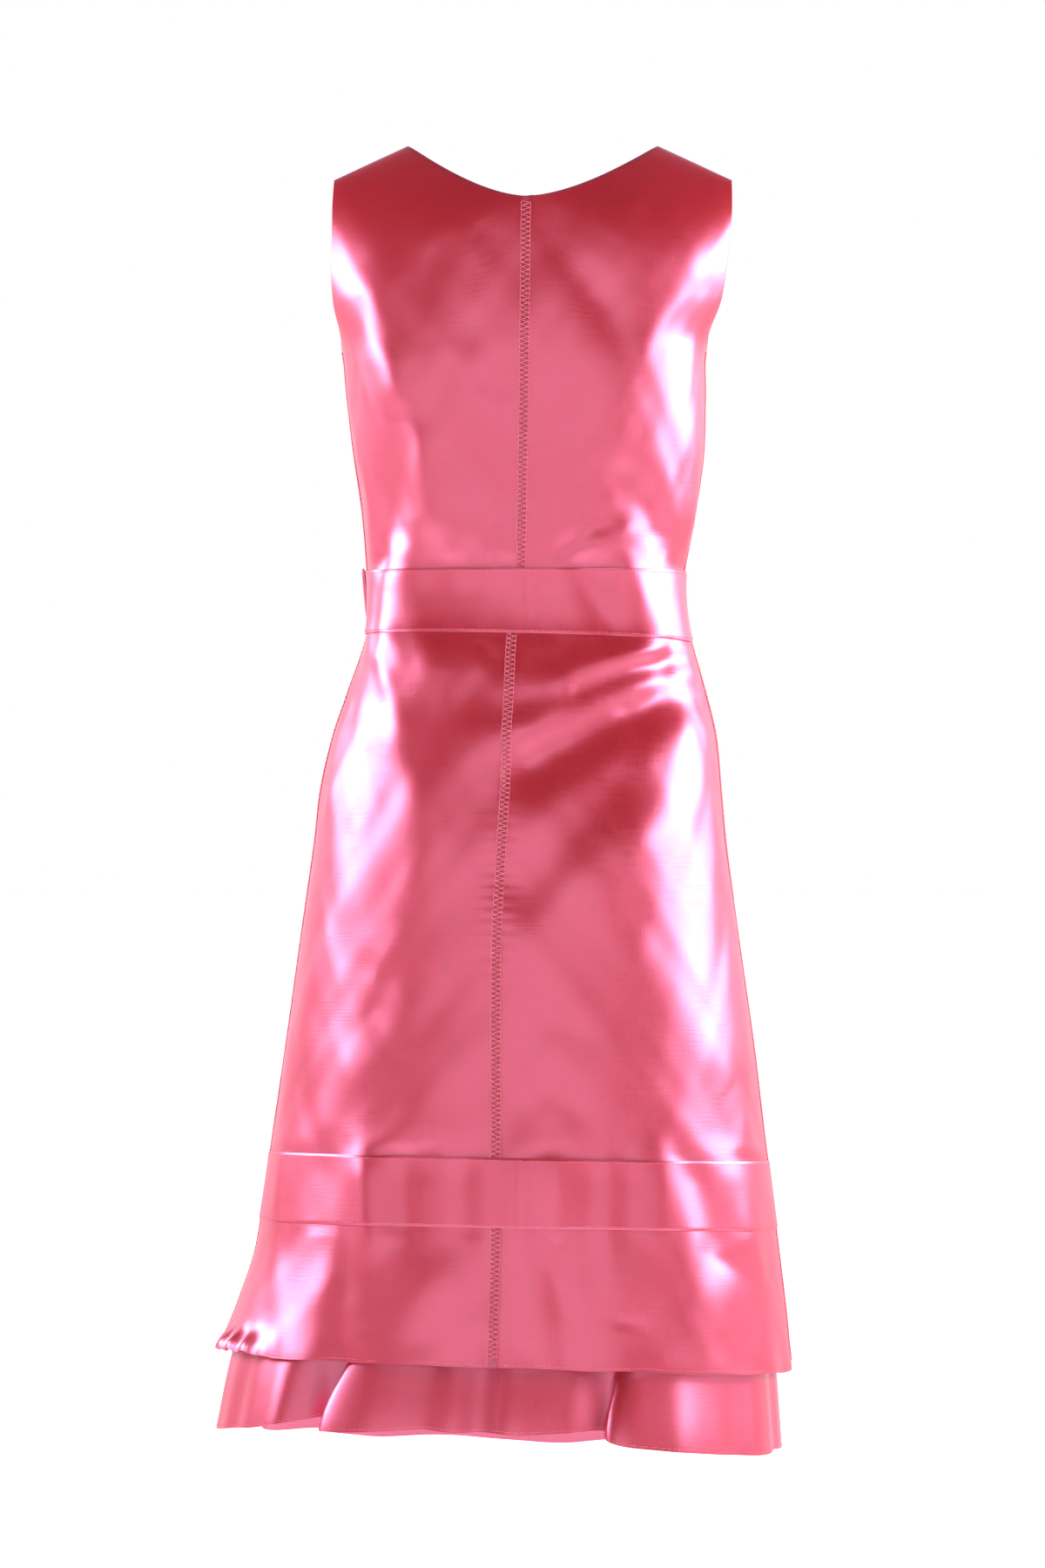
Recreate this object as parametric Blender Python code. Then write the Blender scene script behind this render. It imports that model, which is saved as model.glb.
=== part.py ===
"""A knee-length satin dress with no sleeves, its belt, a ribbon band and an under-flounce.

Metres, +Z up. The front of the dress faces +Y and its back faces -Y, so +X is the
wearer's right. The origin lies midway between the two shoulder seams.

Every sheet of cloth is a thin wall. Its points come from one form: a ring round the body at
each level, rounded over towards the shoulder seams at the top.
"""
import math
from collections import namedtuple

import bmesh
import bpy

MM = 0.001

# Cloth and seams
CLOTH = 1.6 * MM
SEAM_GAP = 0.3 * MM
SEAM_MARGIN = 0.05 * MM

# Neck, shoulders and armholes
NECK_HALF = 101 * MM
NECK_TOP = 13 * MM
BACK_NECK_BOTTOM = -36 * MM
FRONT_NECK_BOTTOM = -82 * MM
BACK_NECK_POWER = 1.7
FRONT_NECK_POWER = 2.5
SHOULDER_HALF = 160 * MM
SHOULDER_TIP = -14 * MM
SHOULDER_ROUND = 110 * MM
UNDERARM = -149 * MM
SIDE_ANGLE = 88
BACK_ARMHOLE_SCOOP = 0
FRONT_ARMHOLE_SCOOP = 5

# Levels down the dress
BELT_TOP = -329 * MM
BELT_BOTTOM = -379 * MM
HIP = -549 * MM
BAND_TOP = -797 * MM
BAND_BOTTOM = -851 * MM
SKIRT_HEM = -961 * MM
FLOUNCE_TOP = BAND_BOTTOM
FLOUNCE_HEM = -1023 * MM

# Belt, bow and band
BELT_THICK = 2.4 * MM
BAND_THICK = 1.8 * MM
FLOUNCE_INSET = 9.5 * MM

# Flat bow that closes the belt at the wearer's left front, its angles in degrees
BOW_ANGLE = -128
BOW_LEVEL = -352 * MM
BOW_CLEARANCE = 0.8 * MM
KNOT_SPREAD = 6.5
KNOT_HALF_HEIGHT = 15 * MM
KNOT_THICK = 8 * MM
LOOP_START = 6.8
LOOP_END = 34
LOOP_SLANT = 4.5
LOOP_ROOT_HALF = 10 * MM
LOOP_END_HALF = 20 * MM
LOOP_RISE = 6 * MM
LOOP_THICK = 5.5 * MM
LOOP_EDGE = 2.2 * MM
LOOP_COLUMNS = 8
LOOP_ROWS = 4
KNOT_COLUMNS = 4
KNOT_ROWS = 6

# How finely the cloth is divided
QUARTER_COLUMNS = 12
YOKE_ROWS = 9
BACK_NECK_ROWS = 5
FRONT_NECK_ROWS = 6
FLOUNCE_ROWS = 5

# Roundness of each ring: 0 is a plain ellipse, more is flatter across the back and front
SQUARENESS = 0.12

# Rings of the dress from the shoulders to the under-flounce's hem, in millimetres.
# seam is where the centre-back seam runs, rise lifts the back and drop lowers the right side.
Ring = namedtuple("Ring", "level half_width shift back front seam rise drop")
RINGS = (
    Ring(20, 177, 0, 56, 60, -5.5, 0, 0),
    Ring(-36, 177, -1, 71, 84, -5.7, 0, 0),
    Ring(-75, 173, -3, 83, 98, -6.2, 0, 0),
    Ring(-112, 164, -5, 92, 107, -6.6, 0, 0),
    Ring(-149, 147, -7, 97, 113, -7, 0, 0),
    Ring(-189, 143.7, -5.5, 98, 117, -7.4, 0, 0),
    Ring(-236, 140, -3.5, 96, 113, -8.2, 0, 0),
    Ring(-282, 133.5, -3.5, 92, 105, -9, 0, 0),
    Ring(-327, 127.6, -5.6, 89, 99, -9.8, 0, 0),
    Ring(-352, 126.6, -5, 88, 98, -13, 0, 0),
    Ring(-380, 129.4, -3.5, 90, 99, -16.6, 0, 0),
    Ring(-429, 144.7, -4.7, 102, 105, -19, 1, 1),
    Ring(-461, 153.8, -6.6, 110, 109, -21, 1, 1),
    Ring(-505, 160.9, -9.5, 118, 113, -22.5, 2, 2),
    Ring(-549, 165.5, -10, 123, 117, -25, 3, 2),
    Ring(-620, 175.3, -10.2, 128, 123, -28.5, 4, 3),
    Ring(-699, 186.4, -10, 135, 131, -29.2, 6, 3),
    Ring(-783, 197.8, -11, 143, 140, -29.3, 8, 4),
    Ring(-849, 207.3, -12.3, 151, 148, -29.4, 8, 4),
    Ring(-881, 212.6, -13.5, 155, 152, -30, 9, 5),
    Ring(-920, 221.5, -17.5, 161, 158, -31, 10, 7),
    Ring(-961, 230.5, -23, 168, 164, -32, 11, 8.5),
    Ring(-1023, 239, -27, 175, 170, -33, 23, 9),
)

# Upright folds of the lower skirt: degrees round from the centre back towards the right,
# degrees of spread, depth in millimetres (inwards) and the level at which each begins.
SkirtFold = namedtuple("SkirtFold", "angle spread depth start")
SKIRT_FOLDS = (
    SkirtFold(-52, 7, 3.0, -700),
    SkirtFold(-30, 6, 6.5, -640),
    SkirtFold(-7, 6, 3.5, -720),
    SkirtFold(11, 5, 3.0, -740),
    SkirtFold(28, 6, 4.5, -700),
    SkirtFold(48, 7, 5.5, -660),
    SkirtFold(72, 6, 3.0, -740),
    SkirtFold(104, 7, 4.0, -700),
    SkirtFold(127, 8, 5.5, -640),
    SkirtFold(150, 7, 4.0, -700),
    SkirtFold(171, 7, 5.0, -660),
    SkirtFold(-166, 7, 3.5, -720),
    SkirtFold(-142, 8, 6.0, -640),
    SkirtFold(-119, 7, 4.0, -700),
    SkirtFold(-88, 6, 3.0, -760),
)

# Slanting drag folds of the bodice and hips, as seen from behind or, with face 1, from the
# front: both ends, half the width, and how far the cloth stands out, all in millimetres.
DragFold = namedtuple("DragFold", "face x0 z0 x1 z1 width height")
DRAG_FOLDS = (
    DragFold(-1, -127, -111, -78, -285, 20, 4.0),
    DragFold(-1, -98, -215, -112, -318, 16, -3.5),
    DragFold(-1, 75, -260, 112, -318, 18, -3.0),
    DragFold(-1, 102, -400, 42, -425, 16, -4.0),
    DragFold(-1, 86, -395, 26, -418, 14, 2.5),
    DragFold(-1, 104, -430, -2, -485, 22, -5.0),
    DragFold(-1, 60, -500, -8, -575, 26, -4.0),
    DragFold(-1, -113, -388, -75, -396, 14, -3.0),
    DragFold(-1, -115, -405, -99, -450, 16, 3.0),
    DragFold(-1, -117, -655, -131, -690, 22, -3.0),
    DragFold(1, -120, -150, -70, -205, 20, -3.0),
    DragFold(1, 120, -152, 66, -212, 20, -3.5),
    DragFold(1, -88, -250, -52, -318, 18, -3.5),
    DragFold(1, 84, -240, 48, -316, 18, -3.0),
    DragFold(1, -100, -395, -38, -432, 18, -3.5),
    DragFold(1, 98, -400, 20, -450, 20, -4.0),
    DragFold(1, 60, -500, -20, -560, 26, -3.5),
)

# Folds of the under-flounce round its hem: degrees from the centre back towards the right,
# then how far each stands out and how much lower it hangs, in millimetres.
FlounceFold = namedtuple("FlounceFold", "angle bulge hang")
FLOUNCE_FOLDS = (
    FlounceFold(-180, 2, 1),
    FlounceFold(-168, -6, -2),
    FlounceFold(-156, 3, 3),
    FlounceFold(-142, -5, -3),
    FlounceFold(-129, 3, 2),
    FlounceFold(-116, -6, -3),
    FlounceFold(-103, 2, 3),
    FlounceFold(-90, 0, 0),
    FlounceFold(-76, 2, 3),
    FlounceFold(-62, -5, -3),
    FlounceFold(-51, -9, -4),
    FlounceFold(-44, 2, 3.5),
    FlounceFold(-33, -4, 3),
    FlounceFold(-23, 1, 0),
    FlounceFold(-9, -6, -4),
    FlounceFold(-1, 3, 2),
    FlounceFold(9, -5, -4),
    FlounceFold(18, -9, -4),
    FlounceFold(24, 4, 7),
    FlounceFold(36, 2, 9),
    FlounceFold(50, -2, 9),
    FlounceFold(64, 2, 7),
    FlounceFold(78, -3, 2),
    FlounceFold(90, 0, 0),
    FlounceFold(103, -6, -3),
    FlounceFold(116, 3, 3),
    FlounceFold(130, -5, -2),
    FlounceFold(143, 3, 4),
    FlounceFold(156, -6, -3),
    FlounceFold(168, 2, 2),
    FlounceFold(180, 2, 1),
)


def clear_scene():
    """Start from an empty file."""
    for old in list(bpy.data.objects):
        bpy.data.objects.remove(old, do_unlink=True)


def satin(name, colour):
    """A satin cloth material."""
    material = bpy.data.materials.new(name)
    material.use_nodes = True
    shader = material.node_tree.nodes["Principled BSDF"]
    shader.inputs["Base Color"].default_value = (*colour, 1.0)
    shader.inputs["Roughness"].default_value = 0.38
    shader.inputs["Metallic"].default_value = 0.0
    return material


def mix(start, end, share):
    """The value that lies share of the way from start to end."""
    return start + (end - start) * share


def spaced(start, end, count):
    """count levels from start towards end, without end itself."""
    return [mix(start, end, index / count) for index in range(count)]


def ease(share):
    """A share from 0 to 1 with a soft start and a soft end."""
    share = min(max(share, 0.0), 1.0)
    return share * share * (3 - 2 * share)


def table_row(table, value):
    """The table's columns at value of its first column, smoothly between its rows."""
    falling = table[0][0] > table[-1][0]
    index = 0
    while index < len(table) - 2 and (value < table[index + 1][0]) == falling:
        index += 1
    near = [table[min(max(place, 0), len(table) - 1)] for place in range(index - 1, index + 3)]
    before, start, end, after = (row[0] for row in near)
    step = end - start
    share = min(max((value - start) / step, 0.0), 1.0)
    square = share * share
    cube = square * share
    columns = []
    for column_before, column_start, column_end, column_after in zip(*near):
        slope_start = (column_end - column_before) / (end - before) * step
        slope_end = (column_after - column_start) / (after - start) * step
        columns.append(
            column_start * (2 * cube - 3 * square + 1)
            + slope_start * (cube - 2 * square + share)
            + column_end * (3 * square - 2 * cube)
            + slope_end * (cube - square)
        )
    return type(table[0])(*columns)


def ring_at(level):
    """The dress's ring at a level."""
    return table_row(RINGS, level / MM)


def side_reach(angle):
    """How far towards the side a point at an angle (radians) lies, as a share of half the width."""
    return math.sin(angle) * (1 + SQUARENESS * math.cos(angle) ** 2)


def depth_reach(angle):
    """How far behind the middle it lies, as a share of the depth; in front it is negative."""
    return math.cos(angle) * (1 + SQUARENESS * math.sin(angle) ** 2)


def side_x(angle, level):
    """The x of the ring's point at an angle."""
    ring = ring_at(level)
    return (ring.shift + ring.half_width * side_reach(angle)) * MM


def angle_at(x, level):
    """The angle on the back half of the ring at which x lies."""
    ring = ring_at(level)
    target = (x / MM - ring.shift) / ring.half_width
    angle = math.asin(target)
    for _ in range(8):
        angle = math.asin(target / (1 + SQUARENESS * math.cos(angle) ** 2))
    return angle


def seam_angle(level):
    """The angle of the centre-back seam."""
    return angle_at(ring_at(level).seam * MM, level)


def shoulder_line(x):
    """The height of the shoulder seam's line at x."""
    slope = (SHOULDER_TIP - NECK_TOP) / (SHOULDER_HALF - NECK_HALF)
    return NECK_TOP + slope * (abs(x) - NECK_HALF)


def skirt_fold(angle, level):
    """How far the upright folds push the skirt in at an angle."""
    degrees = math.degrees(angle)
    total = 0.0
    for fold in SKIRT_FOLDS:
        away = (degrees - fold.angle + 180) % 360 - 180
        grown = ease((fold.start - level / MM) / 150)
        total -= fold.depth * grown * math.exp(-((away / fold.spread) ** 2))
    return total * MM


def drag_fold(x, z, face):
    """How far the slanting folds on one face push the cloth out at x and z."""
    total = 0.0
    for fold in DRAG_FOLDS:
        if fold.face != face:
            continue
        along_x = fold.x1 - fold.x0
        along_z = fold.z1 - fold.z0
        length = math.hypot(along_x, along_z)
        off_x = x / MM - fold.x0
        off_z = z / MM - fold.z0
        along = (off_x * along_x + off_z * along_z) / length
        across = (off_x * along_z - off_z * along_x) / length
        past_end = max(-along, along - length, 0.0)
        total += fold.height * math.exp(-((across / fold.width) ** 2) - (past_end / fold.width) ** 2)
    return total * MM


def cloth_point(angle, level, height=None, out=0.0):
    """A point of the dress's outer face, moved out of it by out (inwards where negative)."""
    ring = ring_at(level)
    behind = math.cos(angle) > 0
    depth = ring.back if behind else ring.front
    if height is None:
        height = level + (ring.rise * math.cos(angle) - ring.drop * math.sin(angle)) * MM
    x = (ring.shift + ring.half_width * side_reach(angle)) * MM
    edge_fade = ease(abs(math.cos(angle)) / 0.35)
    push = out + skirt_fold(angle, level) + edge_fade * drag_fold(x, height, -1 if behind else 1)
    x += push * side_reach(angle)
    line = shoulder_line(x)
    rounding = round_over((line - height) / SHOULDER_ROUND)
    height += out * (1 - rounding)
    rounding = round_over((line + out - height) / SHOULDER_ROUND)
    y = -(depth * MM + push) * depth_reach(angle) * rounding
    return x, y, height


def round_over(share):
    """The share of the full depth reached at a share of the drop below the shoulder line."""
    share = min(max(share, 0.0), 1.0)
    return math.sqrt(1 - (1 - share) ** 2)


def body_levels():
    """The levels of the rows below the underarm."""
    return (
        spaced(UNDERARM, BELT_TOP, 8)
        + belt_levels()[:-1]
        + spaced(BELT_BOTTOM, HIP, 7)
        + spaced(HIP, BAND_TOP, 8)
        + band_levels()[:-1]
        + spaced(BAND_BOTTOM, SKIRT_HEM, 4)
        + [SKIRT_HEM]
    )


def belt_levels():
    """The levels of the rows under the belt."""
    return spaced(BELT_TOP, BELT_BOTTOM, 3) + [BELT_BOTTOM]


def band_levels():
    """The levels of the rows under the ribbon band."""
    return spaced(BAND_TOP, BAND_BOTTOM, 2) + [BAND_BOTTOM]


def neck_edge(row, rows, bottom, power, side, centre):
    """The x and height of the neckline at a row."""
    share = math.cos(math.radians(90 * row / rows))
    x = mix(centre, side * NECK_HALF, share)
    return x, mix(bottom, NECK_TOP, share**power)


def yoke_row(row, face, side):
    """Angle, level and height of a row's points between the neckline and the armhole.

    Angles are measured from the middle of the face towards its side.
    """
    at_back = face < 0
    neck_rows = BACK_NECK_ROWS if at_back else FRONT_NECK_ROWS
    bottom = BACK_NECK_BOTTOM if at_back else FRONT_NECK_BOTTOM
    power = BACK_NECK_POWER if at_back else FRONT_NECK_POWER
    scoop = math.radians(BACK_ARMHOLE_SCOOP if at_back else FRONT_ARMHOLE_SCOOP)
    side_angle = math.radians(SIDE_ANGLE if at_back else 180 - SIDE_ANGLE)

    def centre_x(level):
        ring = ring_at(level)
        return (ring.seam if at_back else ring.shift) * MM

    if row <= neck_rows:
        x_in, z_in = neck_edge(row, neck_rows, bottom, power, side, centre_x(bottom))
    else:
        z_in = mix(bottom, UNDERARM, (row - neck_rows) / (YOKE_ROWS - neck_rows))
        x_in = centre_x(z_in)
    angle_in = side * angle_at(x_in, z_in)

    down = (row / YOKE_ROWS) ** 1.35
    turn = math.radians(90 * down)
    z_out = mix(SHOULDER_TIP, UNDERARM, math.sin(turn))
    angle_tip = side * angle_at(side * SHOULDER_HALF, SHOULDER_TIP)
    angle_out = mix(angle_tip, side_angle, 1 - math.cos(turn)) - scoop * math.sin(2 * turn)

    drop_in = shoulder_line(x_in) - z_in
    drop_out = shoulder_line(side_x(side * angle_out, z_out)) - z_out
    points = []
    for column in range(QUARTER_COLUMNS + 1):
        share = column / QUARTER_COLUMNS
        angle = mix(angle_in, angle_out, share)
        level = mix(z_in, z_out, share)
        under_line = shoulder_line(side_x(side * angle, level)) - mix(drop_in, drop_out, share)
        points.append((angle, level, mix(under_line, level, down)))
    return points


def body_row(level, face, side):
    """Angle, level and height of a row's points between the middle of a face and its side."""
    side_angle = math.radians(SIDE_ANGLE if face < 0 else 180 - SIDE_ANGLE)
    middle = side * seam_angle(level) if face < 0 else 0.0
    return [
        (mix(middle, side_angle, column / QUARTER_COLUMNS), level, None)
        for column in range(QUARTER_COLUMNS + 1)
    ]


def half_face(face, side):
    """All rows of one half of the back or the front, each from the middle to the side."""
    rows = [yoke_row(row, face, side) for row in range(YOKE_ROWS)]
    rows += [body_row(level, face, side) for level in body_levels()]
    return rows


def wall_pair(face, side, angle, level, height):
    """The outer and inner points of the wall, kept clear of the shoulder seam."""
    around = side * angle if face < 0 else math.pi - side * angle
    pair = []
    for out in (0.0, -CLOTH):
        x, y, z = cloth_point(around, level, height, out)
        if height is not None and level > UNDERARM:
            y = face * max(face * y, SEAM_GAP / 2)
        pair.append((x, y, z))
    return pair


def part_seam(pairs, rows, column, neighbour, gap):
    """Move a seam's column of points along the cloth towards its neighbour column by gap."""
    for row in rows:
        for face in (0, 1):
            here = pairs[row][column][face]
            there = pairs[row][neighbour][face]
            reach = math.dist(here, there)
            pairs[row][column][face] = tuple(mix(a, b, gap / reach) for a, b in zip(here, there))


def add_wall(name, pairs, quads, material):
    """A closed solid from pairs of outer and inner points and the quads between them."""
    count = len(pairs)
    points = [pair[0] for pair in pairs] + [pair[1] for pair in pairs]
    faces = []
    edges = set()
    for a, b, c, d in quads:
        faces += [(a, b, c), (a, c, d)]
        faces += [(a + count, c + count, b + count), (a + count, d + count, c + count)]
        edges |= {(a, b), (b, c), (c, d), (d, a)}
    for a, b in sorted(edges):
        if (b, a) not in edges:
            faces += [(b, a, a + count), (b, a + count, b + count)]
    mesh = bpy.data.meshes.new(name)
    mesh.from_pydata(points, [], faces)
    turn_outward(mesh)
    mesh.shade_smooth()
    mesh.set_sharp_from_angle(angle=math.radians(50))
    mesh.materials.append(material)
    solid = bpy.data.objects.new(name, mesh)
    bpy.context.collection.objects.link(solid)
    return solid


def turn_outward(mesh):
    """Point every face of a closed mesh outwards."""
    work = bmesh.new()
    work.from_mesh(mesh)
    bmesh.ops.recalc_face_normals(work, faces=work.faces)
    work.to_mesh(mesh)
    work.free()


def grid_quads(rows, columns, closed=False):
    """Quads over a grid of points stored row after row; closed joins its last column to its first."""
    quads = []
    for row in range(rows - 1):
        for column in range(columns if closed else columns - 1):
            following = (column + 1) % columns
            quads.append(
                (
                    row * columns + column,
                    row * columns + following,
                    (row + 1) * columns + following,
                    (row + 1) * columns + column,
                )
            )
    return quads


def back_panel(name, side, material):
    """One half of the back, from the shoulder seam to the hem in one piece."""
    grid = [[wall_pair(-1, side, *place) for place in row] for row in half_face(-1, side)]
    part_seam(grid, range(BACK_NECK_ROWS, len(grid)), 0, 1, SEAM_GAP / 2 + SEAM_MARGIN)
    part_seam(grid, range(YOKE_ROWS, len(grid)), QUARTER_COLUMNS, QUARTER_COLUMNS - 1,
              SEAM_GAP / 2 + SEAM_MARGIN)
    if side < 0:
        grid = [row[::-1] for row in grid]
    pairs = [pair for row in grid for pair in row]
    add_wall(name, pairs, grid_quads(len(grid), QUARTER_COLUMNS + 1), material)


def front_panel(name, material):
    """The front in one piece, whose halves meet below the neckline."""
    right = [[wall_pair(1, 1, *place) for place in row] for row in half_face(1, 1)]
    left = [[wall_pair(1, -1, *place) for place in row] for row in half_face(1, -1)]
    for half in (right, left):
        part_seam(half, range(YOKE_ROWS, len(half)), QUARTER_COLUMNS, QUARTER_COLUMNS - 1,
                  SEAM_GAP / 2 + SEAM_MARGIN)
    columns = QUARTER_COLUMNS + 1
    pairs = [pair for row in right for pair in row[::-1]]
    start = len(pairs)
    pairs += [pair for row in left for pair in row]
    quads = grid_quads(len(right), columns)
    for quad in grid_quads(len(left), columns):
        shifted = []
        for corner in quad:
            row, column = divmod(corner, columns)
            on_centre = column == 0 and row >= FRONT_NECK_ROWS
            shifted.append(row * columns + QUARTER_COLUMNS if on_centre else start + corner)
        quads.append(tuple(shifted))
    add_wall(name, *without_unused(pairs, quads), material)


def without_unused(pairs, quads):
    """Drop the points that no quad uses."""
    used = sorted({corner for quad in quads for corner in quad})
    place = {old: new for new, old in enumerate(used)}
    return [pairs[old] for old in used], [tuple(place[corner] for corner in quad) for quad in quads]


def ring_angles(level):
    """The angles of all the panels' columns at a level, once round from the left side seam."""
    side = math.radians(SIDE_ANGLE)
    seam = seam_angle(level)
    left = [mix(-side, seam, column / QUARTER_COLUMNS) for column in range(QUARTER_COLUMNS)]
    right = [mix(seam, side, column / QUARTER_COLUMNS) for column in range(QUARTER_COLUMNS)]
    columns = 2 * QUARTER_COLUMNS
    front = [mix(side, 2 * math.pi - side, column / columns) for column in range(columns)]
    return left + right + front


def ribbon_ring(name, levels, thickness, material):
    """A ribbon round the dress, made from the panels' own points moved out."""
    pairs = []
    for level in levels:
        for angle in ring_angles(level):
            outer = cloth_point(angle, level, out=SEAM_GAP + SEAM_MARGIN + thickness)
            inner = cloth_point(angle, level, out=SEAM_GAP + SEAM_MARGIN)
            pairs.append((outer, inner))
    add_wall(name, pairs, grid_quads(len(levels), 4 * QUARTER_COLUMNS, closed=True), material)


def flounce_point(angle, level, wall):
    """A point of the under-flounce, which hangs from inside the skirt behind the band."""
    fold = table_row(FLOUNCE_FOLDS, (math.degrees(angle) + 180) % 360 - 180)
    above_skirt_hem = min((FLOUNCE_TOP - level) / (FLOUNCE_TOP - SKIRT_HEM), 1.0)
    inset = CLOTH + SEAM_GAP + SEAM_MARGIN + FLOUNCE_INSET * above_skirt_hem
    free = flounce_freedom(level)
    x, y, z = cloth_point(angle, level, out=-inset - wall + fold.bulge * free * MM)
    return x, y, z - fold.hang * free * MM


def flounce_freedom(level):
    """How freely the flounce waves at a level: 0 where it is sewn in, 1 at its hem."""
    return ease((FLOUNCE_TOP - level) / (FLOUNCE_TOP - FLOUNCE_HEM))


def flounce_row(level, wall):
    """A ring of flounce points: one on each column of the panels and one between each two."""
    angles = ring_angles(level)
    on_columns = [flounce_point(angle, level, wall) for angle in angles]
    row = []
    for index, point in enumerate(on_columns):
        following = (index + 1) % len(angles)
        step = (angles[following] - angles[index]) % (2 * math.pi)
        between = flounce_point(angles[index] + step / 2, level, wall)
        chord = [mix(a, b, 0.5) for a, b in zip(point, on_columns[following])]
        free = flounce_freedom(level)
        row += [point, tuple(mix(a, b, free) for a, b in zip(chord, between))]
    return row


def under_flounce(name, material):
    """The flounce that shows below the skirt's hem, a ring with uneven waves."""
    pairs = []
    for row in range(FLOUNCE_ROWS + 1):
        level = mix(FLOUNCE_TOP, FLOUNCE_HEM, row / FLOUNCE_ROWS)
        pairs += zip(flounce_row(level, 0.0), flounce_row(level, CLOTH))
    columns = len(pairs) // (FLOUNCE_ROWS + 1)
    add_wall(name, pairs, grid_quads(FLOUNCE_ROWS + 1, columns, closed=True), material)


def bow_patch(name, columns, rows, place, material):
    """A rounded pad on the belt; place gives each point's angle, level and thickness."""
    lift = SEAM_GAP + SEAM_MARGIN + BELT_THICK + BOW_CLEARANCE
    pairs = []
    for row in range(rows + 1):
        for column in range(columns + 1):
            angle, level, thickness = place(column / columns, 1 - 2 * row / rows)
            outer = cloth_point(math.radians(angle), level, out=lift + thickness)
            inner = cloth_point(math.radians(angle), level, out=lift)
            pairs.append((outer, inner))
    add_wall(name, pairs, grid_quads(rows + 1, columns + 1), material)


def bow_loop(name, towards_back, material):
    """A loop of the bow, pressed flat, its folded end slanting and a little raised."""

    def place(along, across):
        reach = mix(LOOP_START, LOOP_END + LOOP_SLANT * across, along)
        half = mix(LOOP_ROOT_HALF, LOOP_END_HALF, ease(along / 0.6))
        level = BOW_LEVEL + LOOP_RISE * along + half * across
        fullness = math.sqrt(1 - across**2) * math.sin(math.pi * mix(0.12, 0.95, along))
        return BOW_ANGLE + towards_back * reach, level, mix(LOOP_EDGE, LOOP_THICK, fullness)

    bow_patch(name, LOOP_COLUMNS, LOOP_ROWS, place, material)


def bow_knot(name, material):
    """The short wrap over the middle of the bow."""

    def place(along, across):
        aside = 2 * along - 1
        fullness = math.sqrt((1 - aside**2) * (1 - across**4))
        return (
            BOW_ANGLE + KNOT_SPREAD * aside,
            BOW_LEVEL + KNOT_HALF_HEIGHT * across,
            mix(LOOP_EDGE, KNOT_THICK, fullness),
        )

    bow_patch(name, KNOT_COLUMNS, KNOT_ROWS, place, material)


def build():
    """Make every piece of the dress."""
    clear_scene()
    coral = satin("coral_satin", (0.72, 0.13, 0.19))
    ribbon = satin("coral_ribbon", (0.74, 0.12, 0.18))
    back_panel("back_left", -1, coral)
    back_panel("back_right", 1, coral)
    front_panel("front", coral)
    ribbon_ring("belt", belt_levels(), BELT_THICK, ribbon)
    bow_knot("bow_knot", ribbon)
    bow_loop("bow_loop_back", 1, ribbon)
    bow_loop("bow_loop_front", -1, ribbon)
    ribbon_ring("hem_band", band_levels(), BAND_THICK, ribbon)
    under_flounce("under_flounce", coral)


build()
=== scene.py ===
"""The finish of the satin dress: fine cloth shells with their creases, stitching, ribbon and light."""

import math
from collections import namedtuple

import bmesh
import bpy
import numpy as np
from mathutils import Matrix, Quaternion, Vector


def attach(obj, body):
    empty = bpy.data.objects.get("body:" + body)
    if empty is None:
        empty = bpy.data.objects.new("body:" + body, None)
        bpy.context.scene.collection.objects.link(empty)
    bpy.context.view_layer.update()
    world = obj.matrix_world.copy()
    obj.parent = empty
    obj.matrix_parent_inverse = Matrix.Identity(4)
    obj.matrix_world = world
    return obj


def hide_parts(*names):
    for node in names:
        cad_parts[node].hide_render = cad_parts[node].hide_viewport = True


MM = 0.001

# Neck, shoulders and armholes, as the solids have them
NECK_HALF = 101 * MM
NECK_TOP = 13 * MM
BACK_NECK_BOTTOM = -36 * MM
FRONT_NECK_BOTTOM = -82 * MM
BACK_NECK_POWER = 1.7
FRONT_NECK_POWER = 2.5
SHOULDER_HALF = 160 * MM
SHOULDER_TIP = -14 * MM
SHOULDER_ROUND = 98 * MM
UNDERARM = -149 * MM
SIDE_ANGLE = math.radians(85.5)
FRONT_ARMHOLE_SCOOP = math.radians(5)
BACK_NECK_SHARE = 5 / 9
FRONT_NECK_SHARE = 6 / 9
SQUARENESS = 0.12

# Levels down the dress
BELT_TOP = -329 * MM
BELT_BOTTOM = -379 * MM
BAND_TOP = -797 * MM
BAND_BOTTOM = -851 * MM
SKIRT_HEM = -961 * MM
FLOUNCE_TOP = BAND_BOTTOM
FLOUNCE_HEM = -1023 * MM

# Cloth, ribbons and how far each lies out from the dress
CLOTH = 0.8 * MM
WALL = 1.6 * MM
RIBBON = 0.9 * MM
RIBBON_LIFT = 0.6 * MM
FLOUNCE_INSET = 9.5 * MM
FLOUNCE_CLEARANCE = 0.35 * MM
FLOUNCE_FLARE = 7 * MM
FLAT_BACK = 4.5 * MM
HEM_CURL = 6 * MM
BELT_DROP = 6.5 * MM

# Flat bow at the wearer's left front, its angles in degrees
BOW_ANGLE = -128
BOW_LEVEL = -352 * MM
BOW_LIFT = 2.4 * MM
KNOT_SPREAD = 6.5
KNOT_HALF_HEIGHT = 15 * MM
KNOT_THICK = 8 * MM
LOOP_START = 6.0
LOOP_END = 34
LOOP_SLANT = 4.5
LOOP_ROOT_HALF = 10 * MM
LOOP_END_HALF = 20 * MM
LOOP_RISE = 6 * MM
LOOP_THICK = 5.5 * MM
LOOP_EDGE = 1.4 * MM

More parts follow.
